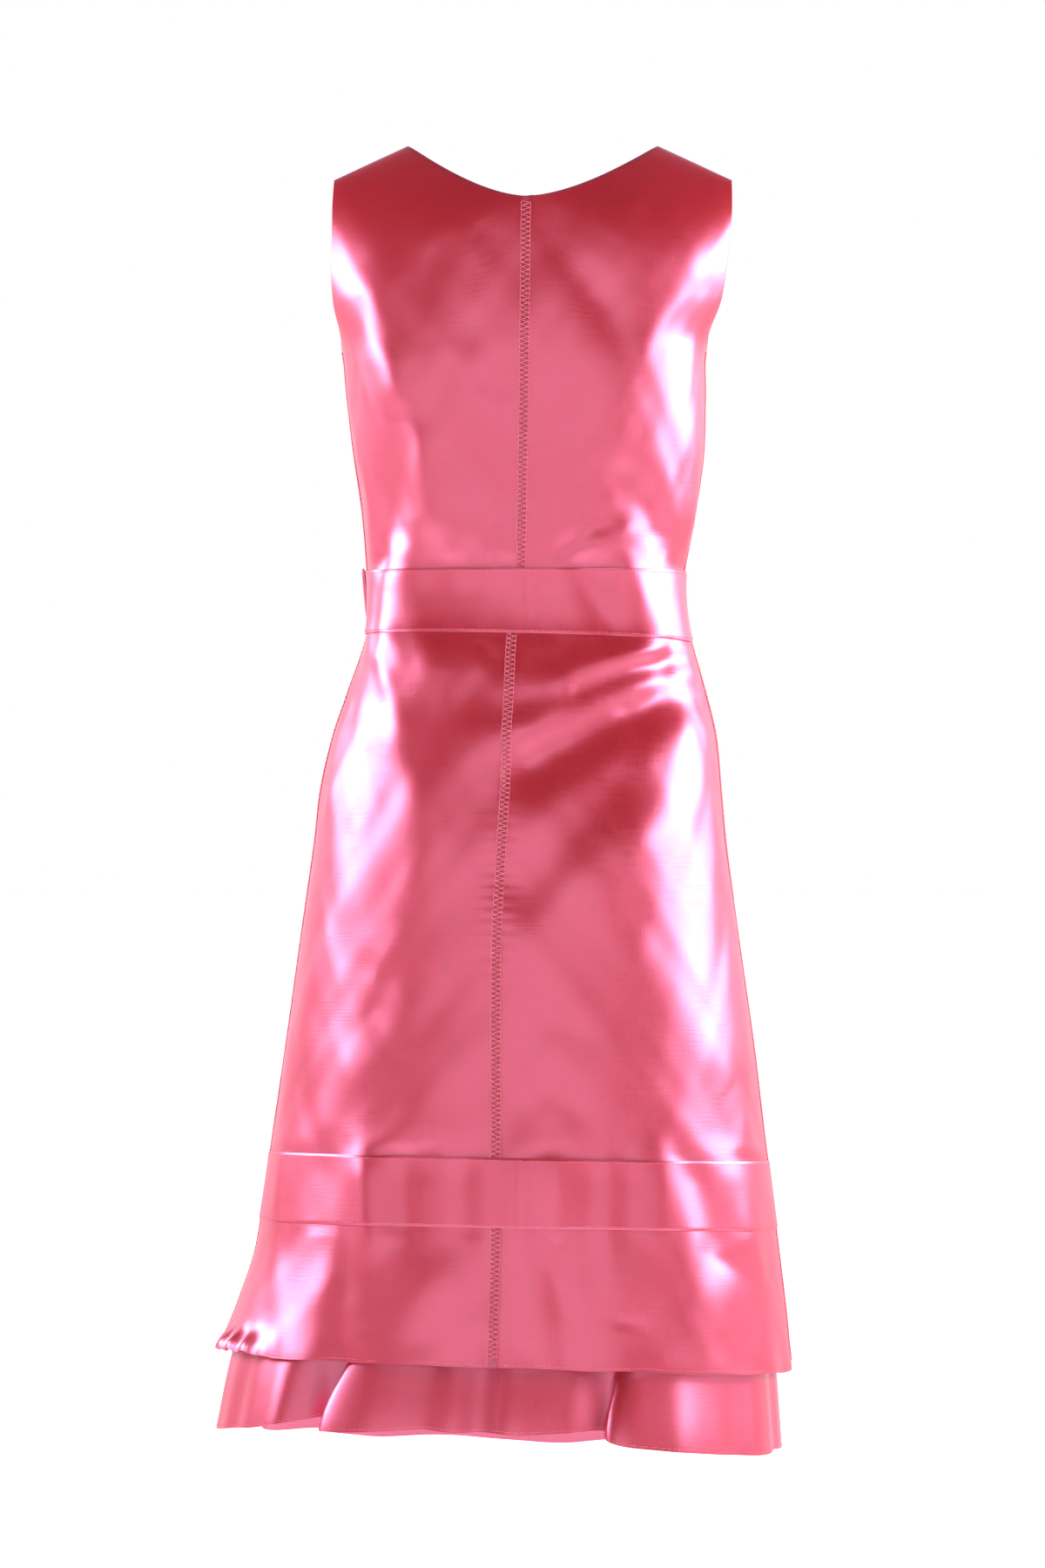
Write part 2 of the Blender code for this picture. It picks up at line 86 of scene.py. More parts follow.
# Fineness of the cloth grids
PANEL_STEP = 2.9 * MM
FRONT_STEP = 3.9 * MM
RIBBON_STEP = 2.8 * MM
FLOUNCE_STEP = 3.6 * MM
FLOUNCE_AROUND_STEP = 2.3 * MM
YOKE_HEIGHT = 160 * MM
PANEL_WIDTH = 200 * MM

# Ribbons: top, bottom, how much lower one side hangs, and the length once round the dress
Ribbon = namedtuple("Ribbon", "top bottom drop girth")
BELT = Ribbon(BELT_TOP, BELT_BOTTOM, BELT_DROP, 0.72)
BAND = Ribbon(BAND_TOP, BAND_BOTTOM, 0.0, 1.12)

# Lengths once round the hems
SKIRT_HEM_GIRTH = 1.26
FLOUNCE_GIRTH = 1.36
FLOUNCE_HEM_GIRTH = 1.34

# Stitches: zigzags down the seams, and running stitches along the ribbons and hems
STITCH_PITCH = 3.8 * MM
STITCH_HALF = 3.2 * MM
THREAD = 0.34 * MM
RUNNING_PITCH = 3.2 * MM
RUNNING_THREAD = 0.2 * MM
EDGE_STITCH = 2.2 * MM
HEM_STITCH = 2.6 * MM
SEAM_END = 4 * MM
SEAM_DIP = 1.0 * MM
SEAM_DIP_REACH = 1.5 * MM
PUCKER_STRENGTH = 0.07
PUCKER_REACH = 6 * MM

# Weave places beside the centre-back seam start at 0 and all others at SEAMLESS; within SEAM_BED of that
# seam the satin's colour is darkened as painted shade under the stitching
SEAMLESS = 1.0
SEAM_BED = 3.2 * MM

# Colours and the satin's gloss
SATIN_COLOUR = (0.33, 0.010, 0.013)
RIBBON_COLOUR = (0.34, 0.010, 0.013)
THREAD_COLOUR = (0.70, 0.09, 0.13)
GLOSS_COLOUR = (1.0, 0.37, 0.60, 1.0)
SHEEN_COLOUR = (1.0, 0.62, 0.95, 1.0)
SATIN_IOR = 3.0
SMOOTHEST = 0.28
ROUGHEST = 0.35
WEAVE_BUMP = 0.16
# Painted shade: the share of the satin's colour kept beside the centre-back seam, under the stitching
SEAM_SHADE = 0.66

# Photograph: metres a pixel at four metres, and the camera's place
IMAGE_HEIGHT = 1800
PIXEL = 0.7 * MM
CAMERA_DISTANCE = 4.0
CAMERA_X = -0.0084
CAMERA_Z = -0.4991
SENSOR = 36.0
FLOOR_Z = -1.475
HORIZON_BRIGHTNESS = 4.0
LEFT_BOX_FOOT = -0.26
LEFT_BOX_TOP = 0.98
RIGHT_BOX_FOOT = -0.58
RIGHT_BOX_TOP = 0.98
SIDE_BOX_WIDTH = 5.2
SIDE_BOX_ROLL = 0.10
SIDE_BOX_AWAY = 2.97
SIDE_BOX_NARROWING = 1.1
SIDE_BOX_SHARES = (1.0, 0.88, 0.76, 0.64, 0.52, 0.4)
SIDE_BOX_GLOW = 7.8
SIDE_BOX_COLOUR = (1.0, 0.92, 1.0)
FILL_POWER = 36
FILL_AWAY = 2.8
FILL_HEIGHT = 2.6
FILL_SIZE = 2.2
DRESS_MIDDLE = (0, 0, -0.6)

# How bright the surround is in reflections, by height and from behind (-1) to in front (1)
LOWEST, HIGHEST = 0.3, 0.4
HEIGHT_STOPS = ((-0.30, 0.8), (-0.10, 1.0), (0.14, 1.0), (0.36, 0.26), (0.60, 0.09), (0.85, 0.14))
REARMOST, FOREMOST = 0.46, 0.4
DEPTH_STOPS = (
    (-0.95, 0.46), (-0.87, 0.13), (-0.79, 0.018), (-0.67, 0.018), (-0.50, 0.09), (0.10, 0.11),
    (0.45, 0.17), (0.70, 0.38), (0.88, 0.45), (0.96, 0.35),
)


def rows_of(kind, *rows):
    """A table's rows under the names of its columns."""
    return tuple(kind(*row) for row in rows)


# Swells of the satin: waves round the dress, drift down it, phase, and height in millimetres
Swell = namedtuple("Swell", "waves drift phase height")
SWELLS = rows_of(
    Swell,
    (3, 0.011, 0.4, 0.50), (5, -0.017, 2.1, 0.42), (8, 0.023, 4.4, 0.30),
    (13, -0.031, 1.2, 0.20), (19, 0.045, 3.3, 0.12), (29, -0.06, 5.1, 0.07),
)
PATCHES = rows_of(
    Swell,
    (11, 0.047, 0.7, 0.40), (17, 0.071, 2.9, 0.28),
    (26, 0.113, 1.6, 0.14), (37, 0.157, 4.0, 0.07),
)

# Rings of the dress, in millimetres; rise lifts the back and drop lowers the right side
Ring = namedtuple("Ring", "level half_width shift back front seam rise drop", defaults=(0, 0))
RINGS = rows_of(
    Ring,
    (20, 177, 0, 64, 60, -5.5),
    (-36, 177, -1, 82, 84, -5.7),
    (-75, 173, -3, 90.5, 98, -6.2),
    (-112, 164, -5, 95, 107, -6.6),
    (-149, 147, -7, 97.5, 113, -7),
    (-189, 143.7, -5.5, 98, 117, -7.4),
    (-236, 140, -3.5, 96, 113, -8.2),
    (-282, 133.5, -3.5, 92, 105, -9),
    (-327, 127.6, -5.6, 89, 99, -9.8),
    (-352, 126.6, -5, 88, 98, -13),
    (-380, 129.4, -3.5, 90, 99, -16.6),
    (-429, 144.7, -4.7, 102, 105, -19, 1, 1),
    (-461, 153.8, -6.6, 110, 109, -21, 1, 1),
    (-505, 160.9, -9.5, 118, 113, -22.5, 2, 2),
    (-549, 165.5, -10, 123, 117, -25, 3, 2),
    (-620, 175.3, -10.2, 128, 123, -28.5, 4, 3),
    (-699, 186.4, -10, 135, 131, -29.2, 6, 3),
    (-783, 197.8, -11, 143, 140, -29.3, 8, 4),
    (-849, 207.3, -12.3, 151, 148, -29.4, 8, 4),
    (-881, 212.6, -13.5, 154, 152, -30, 9, 5),
    (-920, 221.5, -17.5, 157, 157, -31, 10, 7),
    (-961, 230.5, -23, 160, 161, -32, 11, 8.5),
    (-1023, 239, -27, 167, 168, -33, 23, 9),
)

# Upright folds of the lower skirt: degrees round, spread, depth and starting level
SkirtFold = namedtuple("SkirtFold", "angle spread depth start")
SKIRT_FOLDS = rows_of(
    SkirtFold,
    (-52, 10, 2.0, -700), (-30, 9, 3.0, -700), (-7, 7, 2.0, -760),
    (11, 7, 2.6, -780), (28, 8, 2.6, -740), (50, 9, 2.8, -700),
    (72, 9, 2.0, -740), (104, 7, 4.0, -700), (127, 8, 5.5, -640),
    (150, 7, 4.0, -700), (171, 7, 5.0, -660), (-166, 7, 3.5, -720),
    (-142, 8, 6.0, -640), (-119, 7, 4.0, -700), (-88, 6, 3.0, -760),
)

# Creases as seen from behind or from the front, in millimetres: both ends, half the width,
# how far the cloth stands out, and how far the middle bows aside if it does.
BEHIND, IN_FRONT = -1, 1
Crease = namedtuple("Crease", "face x0 z0 x1 z1 width height bow", defaults=(0,))


def crease_rows(face, *rows):
    """Rows of a crease table that lie on one face of the dress."""
    return tuple(Crease(face, *row) for row in rows)


def ribbon_rows(top, foot, behind, in_front):
    """Creases right across a ribbon: x at its top, x at its foot, half the width, and height."""
    return tuple(
        Crease(face, x_top, top, x_foot, foot, width, height)
        for face, rows in ((BEHIND, behind), (IN_FRONT, in_front))
        for x_top, x_foot, width, height in rows
    )


DRAG_FOLDS = crease_rows(
    BEHIND,
    (-127, -111, -78, -285, 20, 4.0), (-98, -215, -112, -318, 16, -3.5),
    (75, -260, 112, -318, 18, -3.0), (102, -400, 42, -425, 16, -4.0),
    (86, -395, 26, -418, 14, 2.5), (104, -430, -2, -485, 22, -5.0),
    (60, -500, -8, -575, 26, -4.0), (-104, -392, -46, -392, 40, 5.2),
    (-117, -655, -131, -690, 24, -1.6),
) + crease_rows(
    IN_FRONT,
    (-120, -150, -70, -205, 20, -3.0), (120, -152, 66, -212, 20, -3.5),
    (-88, -250, -52, -318, 18, -3.5), (84, -240, 48, -316, 18, -3.0),
    (-100, -395, -38, -432, 18, -3.5), (98, -400, 20, -450, 20, -4.0),
    (60, -500, -20, -560, 26, -3.5),
)

# Folds of the under-flounce round its hem: degrees, how far out and how much lower
FlounceFold = namedtuple("FlounceFold", "angle bulge hang")
FLOUNCE_FOLDS = rows_of(
    FlounceFold,
    (-180, 2, 1), (-168, -6, -2), (-156, 3, 3), (-142, -5, -3), (-129, 3, 2),
    (-116, -6, -3), (-103, 2, 3), (-90, 0, 0), (-76, 1, 3), (-63, -1, 2),
    (-53, 3, 1), (-46, 2, -2), (-40, -7, -5), (-36, -19, -7), (-31, -19, -5),
    (-27, 4, 2), (-20, 1, 1), (-13, -3, -1), (-8, 1, 1), (-3, -4, 0),
    (3, 1, 1), (11, -3, -1), (19, -11, -4), (24, -8, 0), (28, 5, 7),
    (38, 2, 9), (50, -2, 9), (64, 2, 7), (78, -3, 2), (90, 0, 0),
    (103, -6, -3), (116, 3, 3), (130, -5, -2), (143, 3, 4), (156, -6, -3),
    (168, 2, 2), (180, 2, 1),
)

# Where the flounce folds over itself: degrees round, how far over and how wide the bend is
Overlap = namedtuple("Overlap", "angle reach spread")
OVERLAPS = rows_of(
    Overlap,
    (-27, 6.5, 3.2), (26, 6.5, 3.4), (137, 5.5, 3.2), (-149, -5.5, 3.2),
)

# Fine creases, each pinched at its first end and open at its second
CREASES = crease_rows(
    BEHIND,
    # Back bodice, left half
    (-49, -57, -15, -84, 12, -1.0, 2), (-88, -80, -46, -92, 14, -0.9, 2),
    (-124, -122, -72, -305, 12, 1.2, -3), (-122, -330, -141, -222, 6, 1.4, 3),
    (-113, -330, -94, -280, 12, -1.0), (-66, -330, -56, -286, 8, 0.8),
    (-28, -331, -29, -303, 3, -0.9), (-37, -331, -48, -316, 6, -1.0),
    (-48, -186, -24, -180, 10, -0.8), (-70, -150, -40, -142, 12, -0.6),
    # Back bodice, right half
    (9, -67, 46, -111, 11, -1.2, 3), (43, -111, 62, -134, 11, -1.0),
    (18, -204, 36, -214, 10, -0.7), (70, -214, 92, -226, 12, -0.8),
    (6, -331, 60, -292, 6, -1.3, -3), (16, -333, 70, -300, 6, 1.3, -3),
    (48, -332, 74, -318, 7, -1.0), (100, -312, 76, -270, 12, -1.0),
    (112, -300, 100, -262, 9, 0.8), (120, -331, 116, -280, 9, 1.2),
    (118, -331, 134, -226, 8, 1.3, -2),
    # Right hip: folds that fan out from the end of the belt
    (112, -392, 14, -418, 9, 2.2, 4), (114, -402, 6, -434, 9, -1.8, 4),
    (116, -412, -6, -454, 12, 3.0, 5), (118, -434, -12, -502, 18, -3.4, 6),
    (112, -520, 0, -606, 24, 2.6, 4),
    # Left hip
    (-118, -384, -107, -442, 6, 1.7), (-134, -388, -141, -431, 6, -1.1),
    (-141, -431, -161, -485, 7, -1.0), (-45, -382, -30, -404, 5, -0.9),
    (-18, -382, -15, -400, 4, -0.8), (-60, -388, -84, -450, 12, -0.9, 3),
    (-74, -470, -96, -640, 17, 1.5, 4), (-110, -480, -128, -600, 14, -1.1),
    # Skirt
    (-122, -644, -96, -658, 12, -0.7), (-134, -672, -108, -688, 12, -0.6),
    (24, -690, 44, -698, 12, -1.0), (17, -736, -4, -750, 9, -0.6),
    (22, -734, 60, -772, 11, -0.8, 3), (152, -735, 168, -745, 12, -0.5),
    (176, -792, 174, -764, 9, -0.5), (-160, -796, -148, -782, 6, -0.7),
    (-100, -792, -52, -790, 6, -1.0, -8), (-8, -792, 32, -790, 6, -1.0, -6),
    (70, -796, 78, -772, 7, -0.8), (112, -796, 116, -776, 7, -0.8),
    # Below the band
    (-146, -852, -151, -950, 9, -1.6, 3), (20, -852, 28, -950, 9, -1.7, 3),
    (8, -868, 26, -906, 4, -0.5), (60, -914, 84, -920, 4, -0.5),
    (144, -868, 172, -884, 6, -0.7), (-40, -962, -46, -936, 7, -1.4),
    (14, -963, -4, -944, 7, -1.3),
) + crease_rows(
    IN_FRONT,
    (-88, -86, -42, -112, 12, -1.0, 2), (90, -86, 40, -116, 12, -1.0, -2),
    (122, -150, 78, -226, 10, 1.6, 3), (-122, -150, -80, -220, 10, 1.6, -3),
    (-80, -331, -62, -284, 7, -1.4, 2), (34, -331, 28, -296, 5, -1.0),
    (98, -331, 72, -280, 7, 1.4, 2), (-18, -331, -24, -306, 4, -0.8),
    (100, -386, 40, -424, 8, -1.8, 4), (102, -396, 26, -444, 10, 2.2, 4),
    (-98, -386, -48, -418, 8, -1.8, -4), (-18, -382, -14, -426, 6, -1.1, 2),
    (22, -382, 6, -434, 7, 1.1, 2), (-96, -410, -30, -480, 16, 2.0, -5),
    (-122, -640, -104, -668, 12, -1.1), (60, -700, 90, -732, 12, -1.2, 3),
    (-40, -730, -8, -762, 11, -1.1, 3), (110, -852, 117, -952, 9, -1.7, 3),
    (-30, -852, -37, -952, 9, -1.8, 3), (-120, -852, -129, -955, 9, -1.6, 3),
)

# Creases across the belt, which press into the cloth below
BELT_CREASES = ribbon_rows(
    -325, -383,
    behind=(
        (-124, -125, 4, 0.8), (-116, -117, 4, -1.0), (-104, -108, 12, 2.6), (-76, -68, 13, -2.2),
        (-50, -44, 17, -2.2), (-20, -17, 19, -1.2), (-25, -24, 4, -0.4), (-3, -3, 5, 0.5),
        (9, 8, 5, -0.5), (36, 62, 13, -2.6), (68, 98, 12, 2.2),
    ),
    in_front=(
        (-84, -82, 9, -1.2), (-20, -24, 7, 1.0), (14, 20, 7, -1.0), (64, 60, 9, 1.4),
        (98, 100, 6, -1.0),
    ),
)

# Creases across the ribbon band, which press into the skirt below
BAND_CREASES = ribbon_rows(
    -790, -858,
    behind=(
        (-198, -204, 6, 1.2), (-166, -170, 12, -1.2), (-131, -129, 12, 3.6), (-100, -99, 12, -3.2),
        (-80, -79, 15, -2.8), (-56, -56, 14, -2.8), (-12, -12, 12, 1.4), (16, 16, 10, 1.4),
        (46, 46, 13, -2.2), (72, 71, 12, -2.0), (100, 100, 12, 1.2), (122, 142, 12, -2.8),
        (152, 172, 12, 2.4),
    ),
    in_front=(
        (-150, -154, 9, 1.5), (-132, -134, 9, -2.0), (-70, -66, 10, 1.6), (-20, -22, 10, -1.5),
        (14, 18, 10, 1.8), (78, 74, 9, -1.6), (150, 154, 9, 1.8),
    ),
)


def columns_at(table, value):
    """The table's columns at an array of values of its first column, smoothly between rows."""
    rows = sorted(table)
    data = np.array(rows, dtype=float)
    keys = data[:, 0]
    index = np.clip(np.searchsorted(keys, value) - 1, 0, len(keys) - 2)
    before = data[np.maximum(index - 1, 0)]
    start = data[index]
    end = data[index + 1]
    after = data[np.minimum(index + 2, len(keys) - 1)]
    step = (end[..., 0] - start[..., 0])[..., None]
    share = np.clip((value[..., None] - start[..., :1]) / step, 0, 1)
    slope_start = (end - before) / (end[..., :1] - before[..., :1]) * step
    slope_end = (after - start) / (after[..., :1] - start[..., :1]) * step
    square, cube = share**2, share**3
    mixed = (
        start * (2 * cube - 3 * square + 1)
        + slope_start * (cube - 2 * square + share)
        + end * (3 * square - 2 * cube)
        + slope_end * (cube - square)
    )
    return type(table[0])(*np.moveaxis(mixed, -1, 0))


def rings_at(level):
    """The dress's rings at an array of levels."""
    return columns_at(RINGS, np.asarray(level, dtype=float) / MM)


def ease(share):
    """Shares from 0 to 1 with a soft start and a soft end."""
    share = np.clip(share, 0, 1)
    return share * share * (3 - 2 * share)


def mix(start, end, share):
    """What lies share of the way from start to end."""
    return start + (end - start) * share


def side_reach(angle):
    """How far towards the side an angle lies, as a share of half the width."""
    return np.sin(angle) * (1 + SQUARENESS * np.cos(angle) ** 2)


def depth_reach(angle):
    """How far behind the middle an angle lies, as a share of the depth."""
    return np.cos(angle) * (1 + SQUARENESS * np.sin(angle) ** 2)


def angle_at(x, level):
    """The angle on the back half of the ring at which x lies."""
    ring = rings_at(level)
    target = np.clip((x / MM - ring.shift) / ring.half_width, -1, 1)
    angle = np.arcsin(target)
    for _ in range(10):
        angle = np.arcsin(target / (1 + SQUARENESS * np.cos(angle) ** 2))
    return angle


def seam_angle(level):
    """The angle of the centre-back seam."""
    return angle_at(rings_at(level).seam * MM, level)


def shoulder_line(x):
    """The height of the shoulder seam's line at x."""
    slope = (SHOULDER_TIP - NECK_TOP) / (SHOULDER_HALF - NECK_HALF)
    return NECK_TOP + slope * (np.abs(x) - NECK_HALF)


def round_over(share):
    """The share of the full depth reached at a share of the drop below the shoulder line."""
    return np.sqrt(1 - (1 - np.clip(share, 0, 1)) ** 2)


def skirt_fold(angle, level):
    """How far the upright folds push the skirt in."""
    degrees = np.degrees(angle)
    total = np.zeros(np.shape(angle))
    for fold in SKIRT_FOLDS:
        away = (degrees - fold.angle + 180) % 360 - 180
        grown = ease((fold.start - level / MM) / 150)
        total -= fold.depth * grown * np.exp(-((away / fold.spread) ** 2))
    return total * MM


def crease_push(creases, x, z, behind, style):
    """How far the creases push the cloth out at x and z on the side that each is seen from.

    A fold is even along its length, a fan opens from its first end, and an endless one runs on.
    """
    total = np.zeros(np.shape(x))
    for crease in creases:
        along_x = crease.x1 - crease.x0
        along_z = crease.z1 - crease.z0
        length = math.hypot(along_x, along_z)
        off_x = x / MM - crease.x0
        off_z = z / MM - crease.z0
        along = (off_x * along_x + off_z * along_z) / length
        across = (off_x * along_z - off_z * along_x) / length
        share = np.clip(along / length, 0, 1)
        across = across - 4 * crease.bow * share * (1 - share)
        past_end = np.maximum(np.maximum(-along, along - length), 0)
        width, fade, height = crease.width, crease.width, crease.height
        if style == "fan":
            width = crease.width * mix(0.95, 1.6, share)
            fade = crease.width + 0.22 * length
            height = crease.height * mix(0.35, 1, ease(share / 0.3)) * mix(1, 0.75, share)
        if style == "endless":
            past_end = 0 * past_end
        shape = np.exp(-((across / width) ** 2) - (past_end / fade) ** 2)
        total += np.where(behind == (crease.face == BEHIND), height * shape, 0)
    return total * MM


def beside(level, top, bottom, reach):
    """1 between two levels, fading to 0 over a reach beyond them."""
    return ease((top + reach - level) / reach) * ease((level - bottom + reach) / reach)


def ribbon_creases(x, z, level, behind):
    """How far the creases of the belt and the band push both the ribbons and the cloth below."""
    at_belt = beside(level, BELT_TOP, BELT_BOTTOM, 34 * MM)
    above_band = ease((BAND_TOP + 26 * MM - level) / (44 * MM))
    at_band = above_band * ease((level - BAND_BOTTOM + 60 * MM) / (60 * MM))
    return at_belt * crease_push(BELT_CREASES, x, z, behind, "endless") + at_band * crease_push(
        BAND_CREASES, x, z, behind, "endless"
    )


def hem_curl(angle, level):
    """How far the skirt's hem turns up and out near the wearer's left side, from 0 to 1."""
    degrees = np.degrees(angle)
    near_hem = ease((SKIRT_HEM + 34 * MM - level) / (32 * MM)) ** 2
    here = np.exp(-(((degrees + 66) / 13) ** 2)) * (1 + 0.45 * np.sin(degrees * 0.95))
    return near_hem * (here + 0.12 * np.sin(degrees * 0.31 + 0.4))


def tilt(angle, level):
    """How far a ring lies above its level at an angle, because the dress hangs unevenly."""
    ring = rings_at(level)
    return (ring.rise * np.cos(angle) - ring.drop * np.sin(angle)) * MM


def flat_back(angle, level):
    """How far the back stands out beside its middle, where it spans the shoulder blades and waist."""
    squared = ease((-level / MM - 100) / 70) * ease((level / MM + 470) / 90)
    return np.where(np.cos(angle) > 0, FLAT_BACK * squared * np.sin(2 * angle) ** 2, 0)


def under_ribbon(level):
    """1 where a ribbon presses the cloth flat, fading to 0 beside it."""
    belt = beside(level, BELT_TOP, BELT_BOTTOM, 16 * MM)
    return np.maximum(belt, beside(level, BAND_TOP, BAND_BOTTOM, 12 * MM))


def gentle_unevenness(angle, level):
    """Low swells and smaller patches that keep the satin from lying like metal."""
    degrees = np.degrees(angle)
    down = level / MM
    swell = np.zeros(np.shape(angle))
    for waves, drift, phase, height in SWELLS:
        swell += height * np.sin(np.radians(waves * degrees) + drift * down + phase)
        swell += 0.6 * height * np.sin(drift * 1.7 * down + 2 * phase)
    for waves, drift, phase, height in PATCHES:
        swell += height * np.sin(np.radians(waves * degrees) + phase) * np.sin(drift * down + 2 * phase)
    return swell * MM


def cloth_points(angle, level, height=None, out=0.0, fine=True):
    """Points of the dress's outer face, moved out of it by out."""
    angle, level = np.broadcast_arrays(angle, level)
    ring = rings_at(level)
    behind = np.cos(angle) > 0
    depth = np.where(behind, ring.back, ring.front) * MM
    if height is None:
        height = level + tilt(angle, level)
    x = (ring.shift + ring.half_width * side_reach(angle)) * MM
    edge_fade = ease(np.abs(np.cos(angle)) / 0.35)
    push = out + skirt_fold(angle, level) + flat_back(angle, level)
    push = push + edge_fade * crease_push(DRAG_FOLDS, x, height, behind, "fold")
    push = push + edge_fade * ribbon_creases(x, height, level, behind)
    if fine:
        settled = ease((shoulder_line(x) - height) / (30 * MM))
        creases = crease_push(CREASES, x, height, behind, "fan") + gentle_unevenness(angle, level)
        pressed = mix(creases, np.minimum(creases, 0), under_ribbon(level))
        curl = hem_curl(angle, level)
        push = push + settled * edge_fade * pressed + HEM_CURL * curl
        height = height + 0.7 * HEM_CURL * curl
    x = x + push * side_reach(angle)
    line = shoulder_line(x)
    rounding = round_over((line - height) / SHOULDER_ROUND)
    height = height + out * (1 - rounding)
    rounding = round_over((line + out - height) / SHOULDER_ROUND)
    y = -(depth + push) * depth_reach(angle) * rounding
    return np.stack([x, y, height], axis=-1)


def edge_spaced(width, step, tight):
    """Shares from 0 to 1 about step apart over a width, closer together near both ends."""
    count = max(int(width / step), 8)
    even = np.linspace(0, 1, count + 1)
    close = np.concatenate([np.arange(1, 5) * tight, [tight * 5.4, tight * 7.4]]) / width
    inner = even[(even > close[-1] * 1.2) & (even < 1 - close[-1] * 1.2)]
    return np.concatenate([[0], close, inner, 1 - close[::-1], [1]])


def round_the_dress(face, side, angle):
    """The angle from the middle of the back, for one from the middle of a face towards a side."""
    return side * angle if face == BEHIND else math.pi - side * angle


def yoke_places(face, side, shares, rows):
    """Angle, level and height of the rows between the shoulder seam and the underarm."""
    at_back = face == BEHIND
    neck_share = BACK_NECK_SHARE if at_back else FRONT_NECK_SHARE
    bottom = BACK_NECK_BOTTOM if at_back else FRONT_NECK_BOTTOM
    power = BACK_NECK_POWER if at_back else FRONT_NECK_POWER
    scoop = 0.0 if at_back else FRONT_ARMHOLE_SCOOP
    side_angle = SIDE_ANGLE if at_back else math.pi - SIDE_ANGLE
    place = np.linspace(0, 1, rows + 1)[:-1]

    on_neck = np.cos(np.clip(place / neck_share, 0, 1) * math.pi / 2)
    z_in = mix(bottom, NECK_TOP, on_neck**power)
    below = np.clip((place - neck_share) / (1 - neck_share), 0, 1) ** 1.5
    z_in = np.where(place > neck_share, mix(bottom, UNDERARM, below), z_in)
    ring = rings_at(z_in)
    centre = (ring.seam if at_back else ring.shift) * MM
    x_in = mix(centre, side * NECK_HALF, np.where(place > neck_share, 0, on_neck))
    angle_in = side * angle_at(x_in, z_in)

    down = place**1.35
    turn = down * math.pi / 2
    z_out = mix(SHOULDER_TIP, UNDERARM, np.sin(turn))
    tip = side * angle_at(np.array(side * SHOULDER_HALF), np.array(SHOULDER_TIP))
    angle_out = mix(tip, side_angle, 1 - np.cos(turn)) - scoop * np.sin(2 * turn)

    def side_x(angle, level):
        here = rings_at(level)
        return (here.shift + here.half_width * side_reach(side * angle)) * MM

    drop_in = shoulder_line(x_in) - z_in
    drop_out = shoulder_line(side_x(angle_out, z_out)) - z_out
    angle = mix(angle_in[:, None], angle_out[:, None], shares)
    level = mix(z_in[:, None], z_out[:, None], shares)
    drop = mix(drop_in[:, None], drop_out[:, None], shares)
    height = mix(shoulder_line(side_x(angle, level)) - drop, level, down[:, None])
    return angle, height - tilt(round_the_dress(face, side, angle), height), height


def body_places(face, side, shares, levels):
    """Angle, level and height of the rows from the underarm to the hem."""
    at_back = face == BEHIND
    middle = side * seam_angle(levels) if at_back else np.zeros(len(levels))
    side_angle = SIDE_ANGLE if at_back else math.pi - SIDE_ANGLE
    angle = mix(middle[:, None], side_angle, shares)
    level = np.broadcast_to(levels[:, None], angle.shape)
    return angle, level, level + tilt(round_the_dress(face, side, angle), level)


def yoke_rows(step):
    """Rows above the underarm, so many that one lies at the bottom of each neckline."""
    return 9 * int(YOKE_HEIGHT / step / 9)


def half_places(face, side, shares, step):
    """All rows of one half of the back or front, from the middle to the side."""
    yoke = yoke_places(face, side, shares, yoke_rows(step))
    levels = np.linspace(UNDERARM, SKIRT_HEM, int((UNDERARM - SKIRT_HEM) / step))
    body = body_places(face, side, shares, levels)
    angle, level, height = (np.concatenate(parts) for parts in zip(yoke, body))
    return round_the_dress(face, side, angle), level, height


def seam_dip(shares):
    """How far the cloth turns in beside the seam where the shares start."""
    return -SEAM_DIP * np.exp(-((shares * PANEL_WIDTH / SEAM_DIP_REACH) ** 2))


def grid_faces(rows, columns, closed=False):
    """Quads over a grid of points stored row after row."""
    row = np.arange(rows - 1)[:, None]
    column = np.arange(columns if closed else columns - 1)[None, :]
    following = (column + 1) % columns
    corners = [
        row * columns + column,
        row * columns + following,
        (row + 1) * columns + following,
        (row + 1) * columns + column,
    ]
    corners = [np.broadcast_to(corner, (rows - 1, column.shape[1])) for corner in corners]
    return np.stack(corners, axis=-1).reshape(-1, 4)


def riding_piece(name, points, faces, material):
    """A smooth closed mesh that rides on the root."""
    mesh = bpy.data.meshes.new(name)
    mesh.from_pydata(points.tolist(), [], faces)
    turn_outward(mesh)
    mesh.shade_smooth()
    mesh.materials.append(material)
    piece = bpy.data.objects.new(name, mesh)
    bpy.context.collection.objects.link(piece)
    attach(piece, "root")
    return piece


def sheet_object(name, outer, inner, quads, material, threads):
    """A thin closed shell from its outer and inner points; threads gives each point's weave place."""
    count = len(outer)
    edges = np.concatenate([quads[:, [corner, (corner + 1) % 4]] for corner in range(4)])
    key = edges[:, 0] * count + edges[:, 1]
    twin = edges[:, 1] * count + edges[:, 0]
    rim = edges[~np.isin(key, twin)]
    rim_faces = np.stack([rim[:, 1], rim[:, 0], rim[:, 0] + count, rim[:, 1] + count], axis=1)
    faces = np.concatenate([quads, quads[:, ::-1] + count, rim_faces])
    shell = riding_piece(name, np.concatenate([outer, inner]), faces.tolist(), material)
    mesh = shell.data
    mesh.set_sharp_from_angle(angle=math.radians(55))
    layer = mesh.uv_layers.new(name="threads")
    corners = np.empty(len(mesh.loops), dtype=int)
    mesh.loops.foreach_get("vertex_index", corners)
    both = np.concatenate([threads, threads])
    layer.data.foreach_set("uv", both[corners].astype(np.float32).ravel())
    return shell


def turn_outward(mesh):
    """Point every face of a closed mesh outwards."""
    work = bmesh.new()
    work.from_mesh(mesh)
    bmesh.ops.recalc_face_normals(work, faces=work.faces)
    work.to_mesh(mesh)
    work.free()


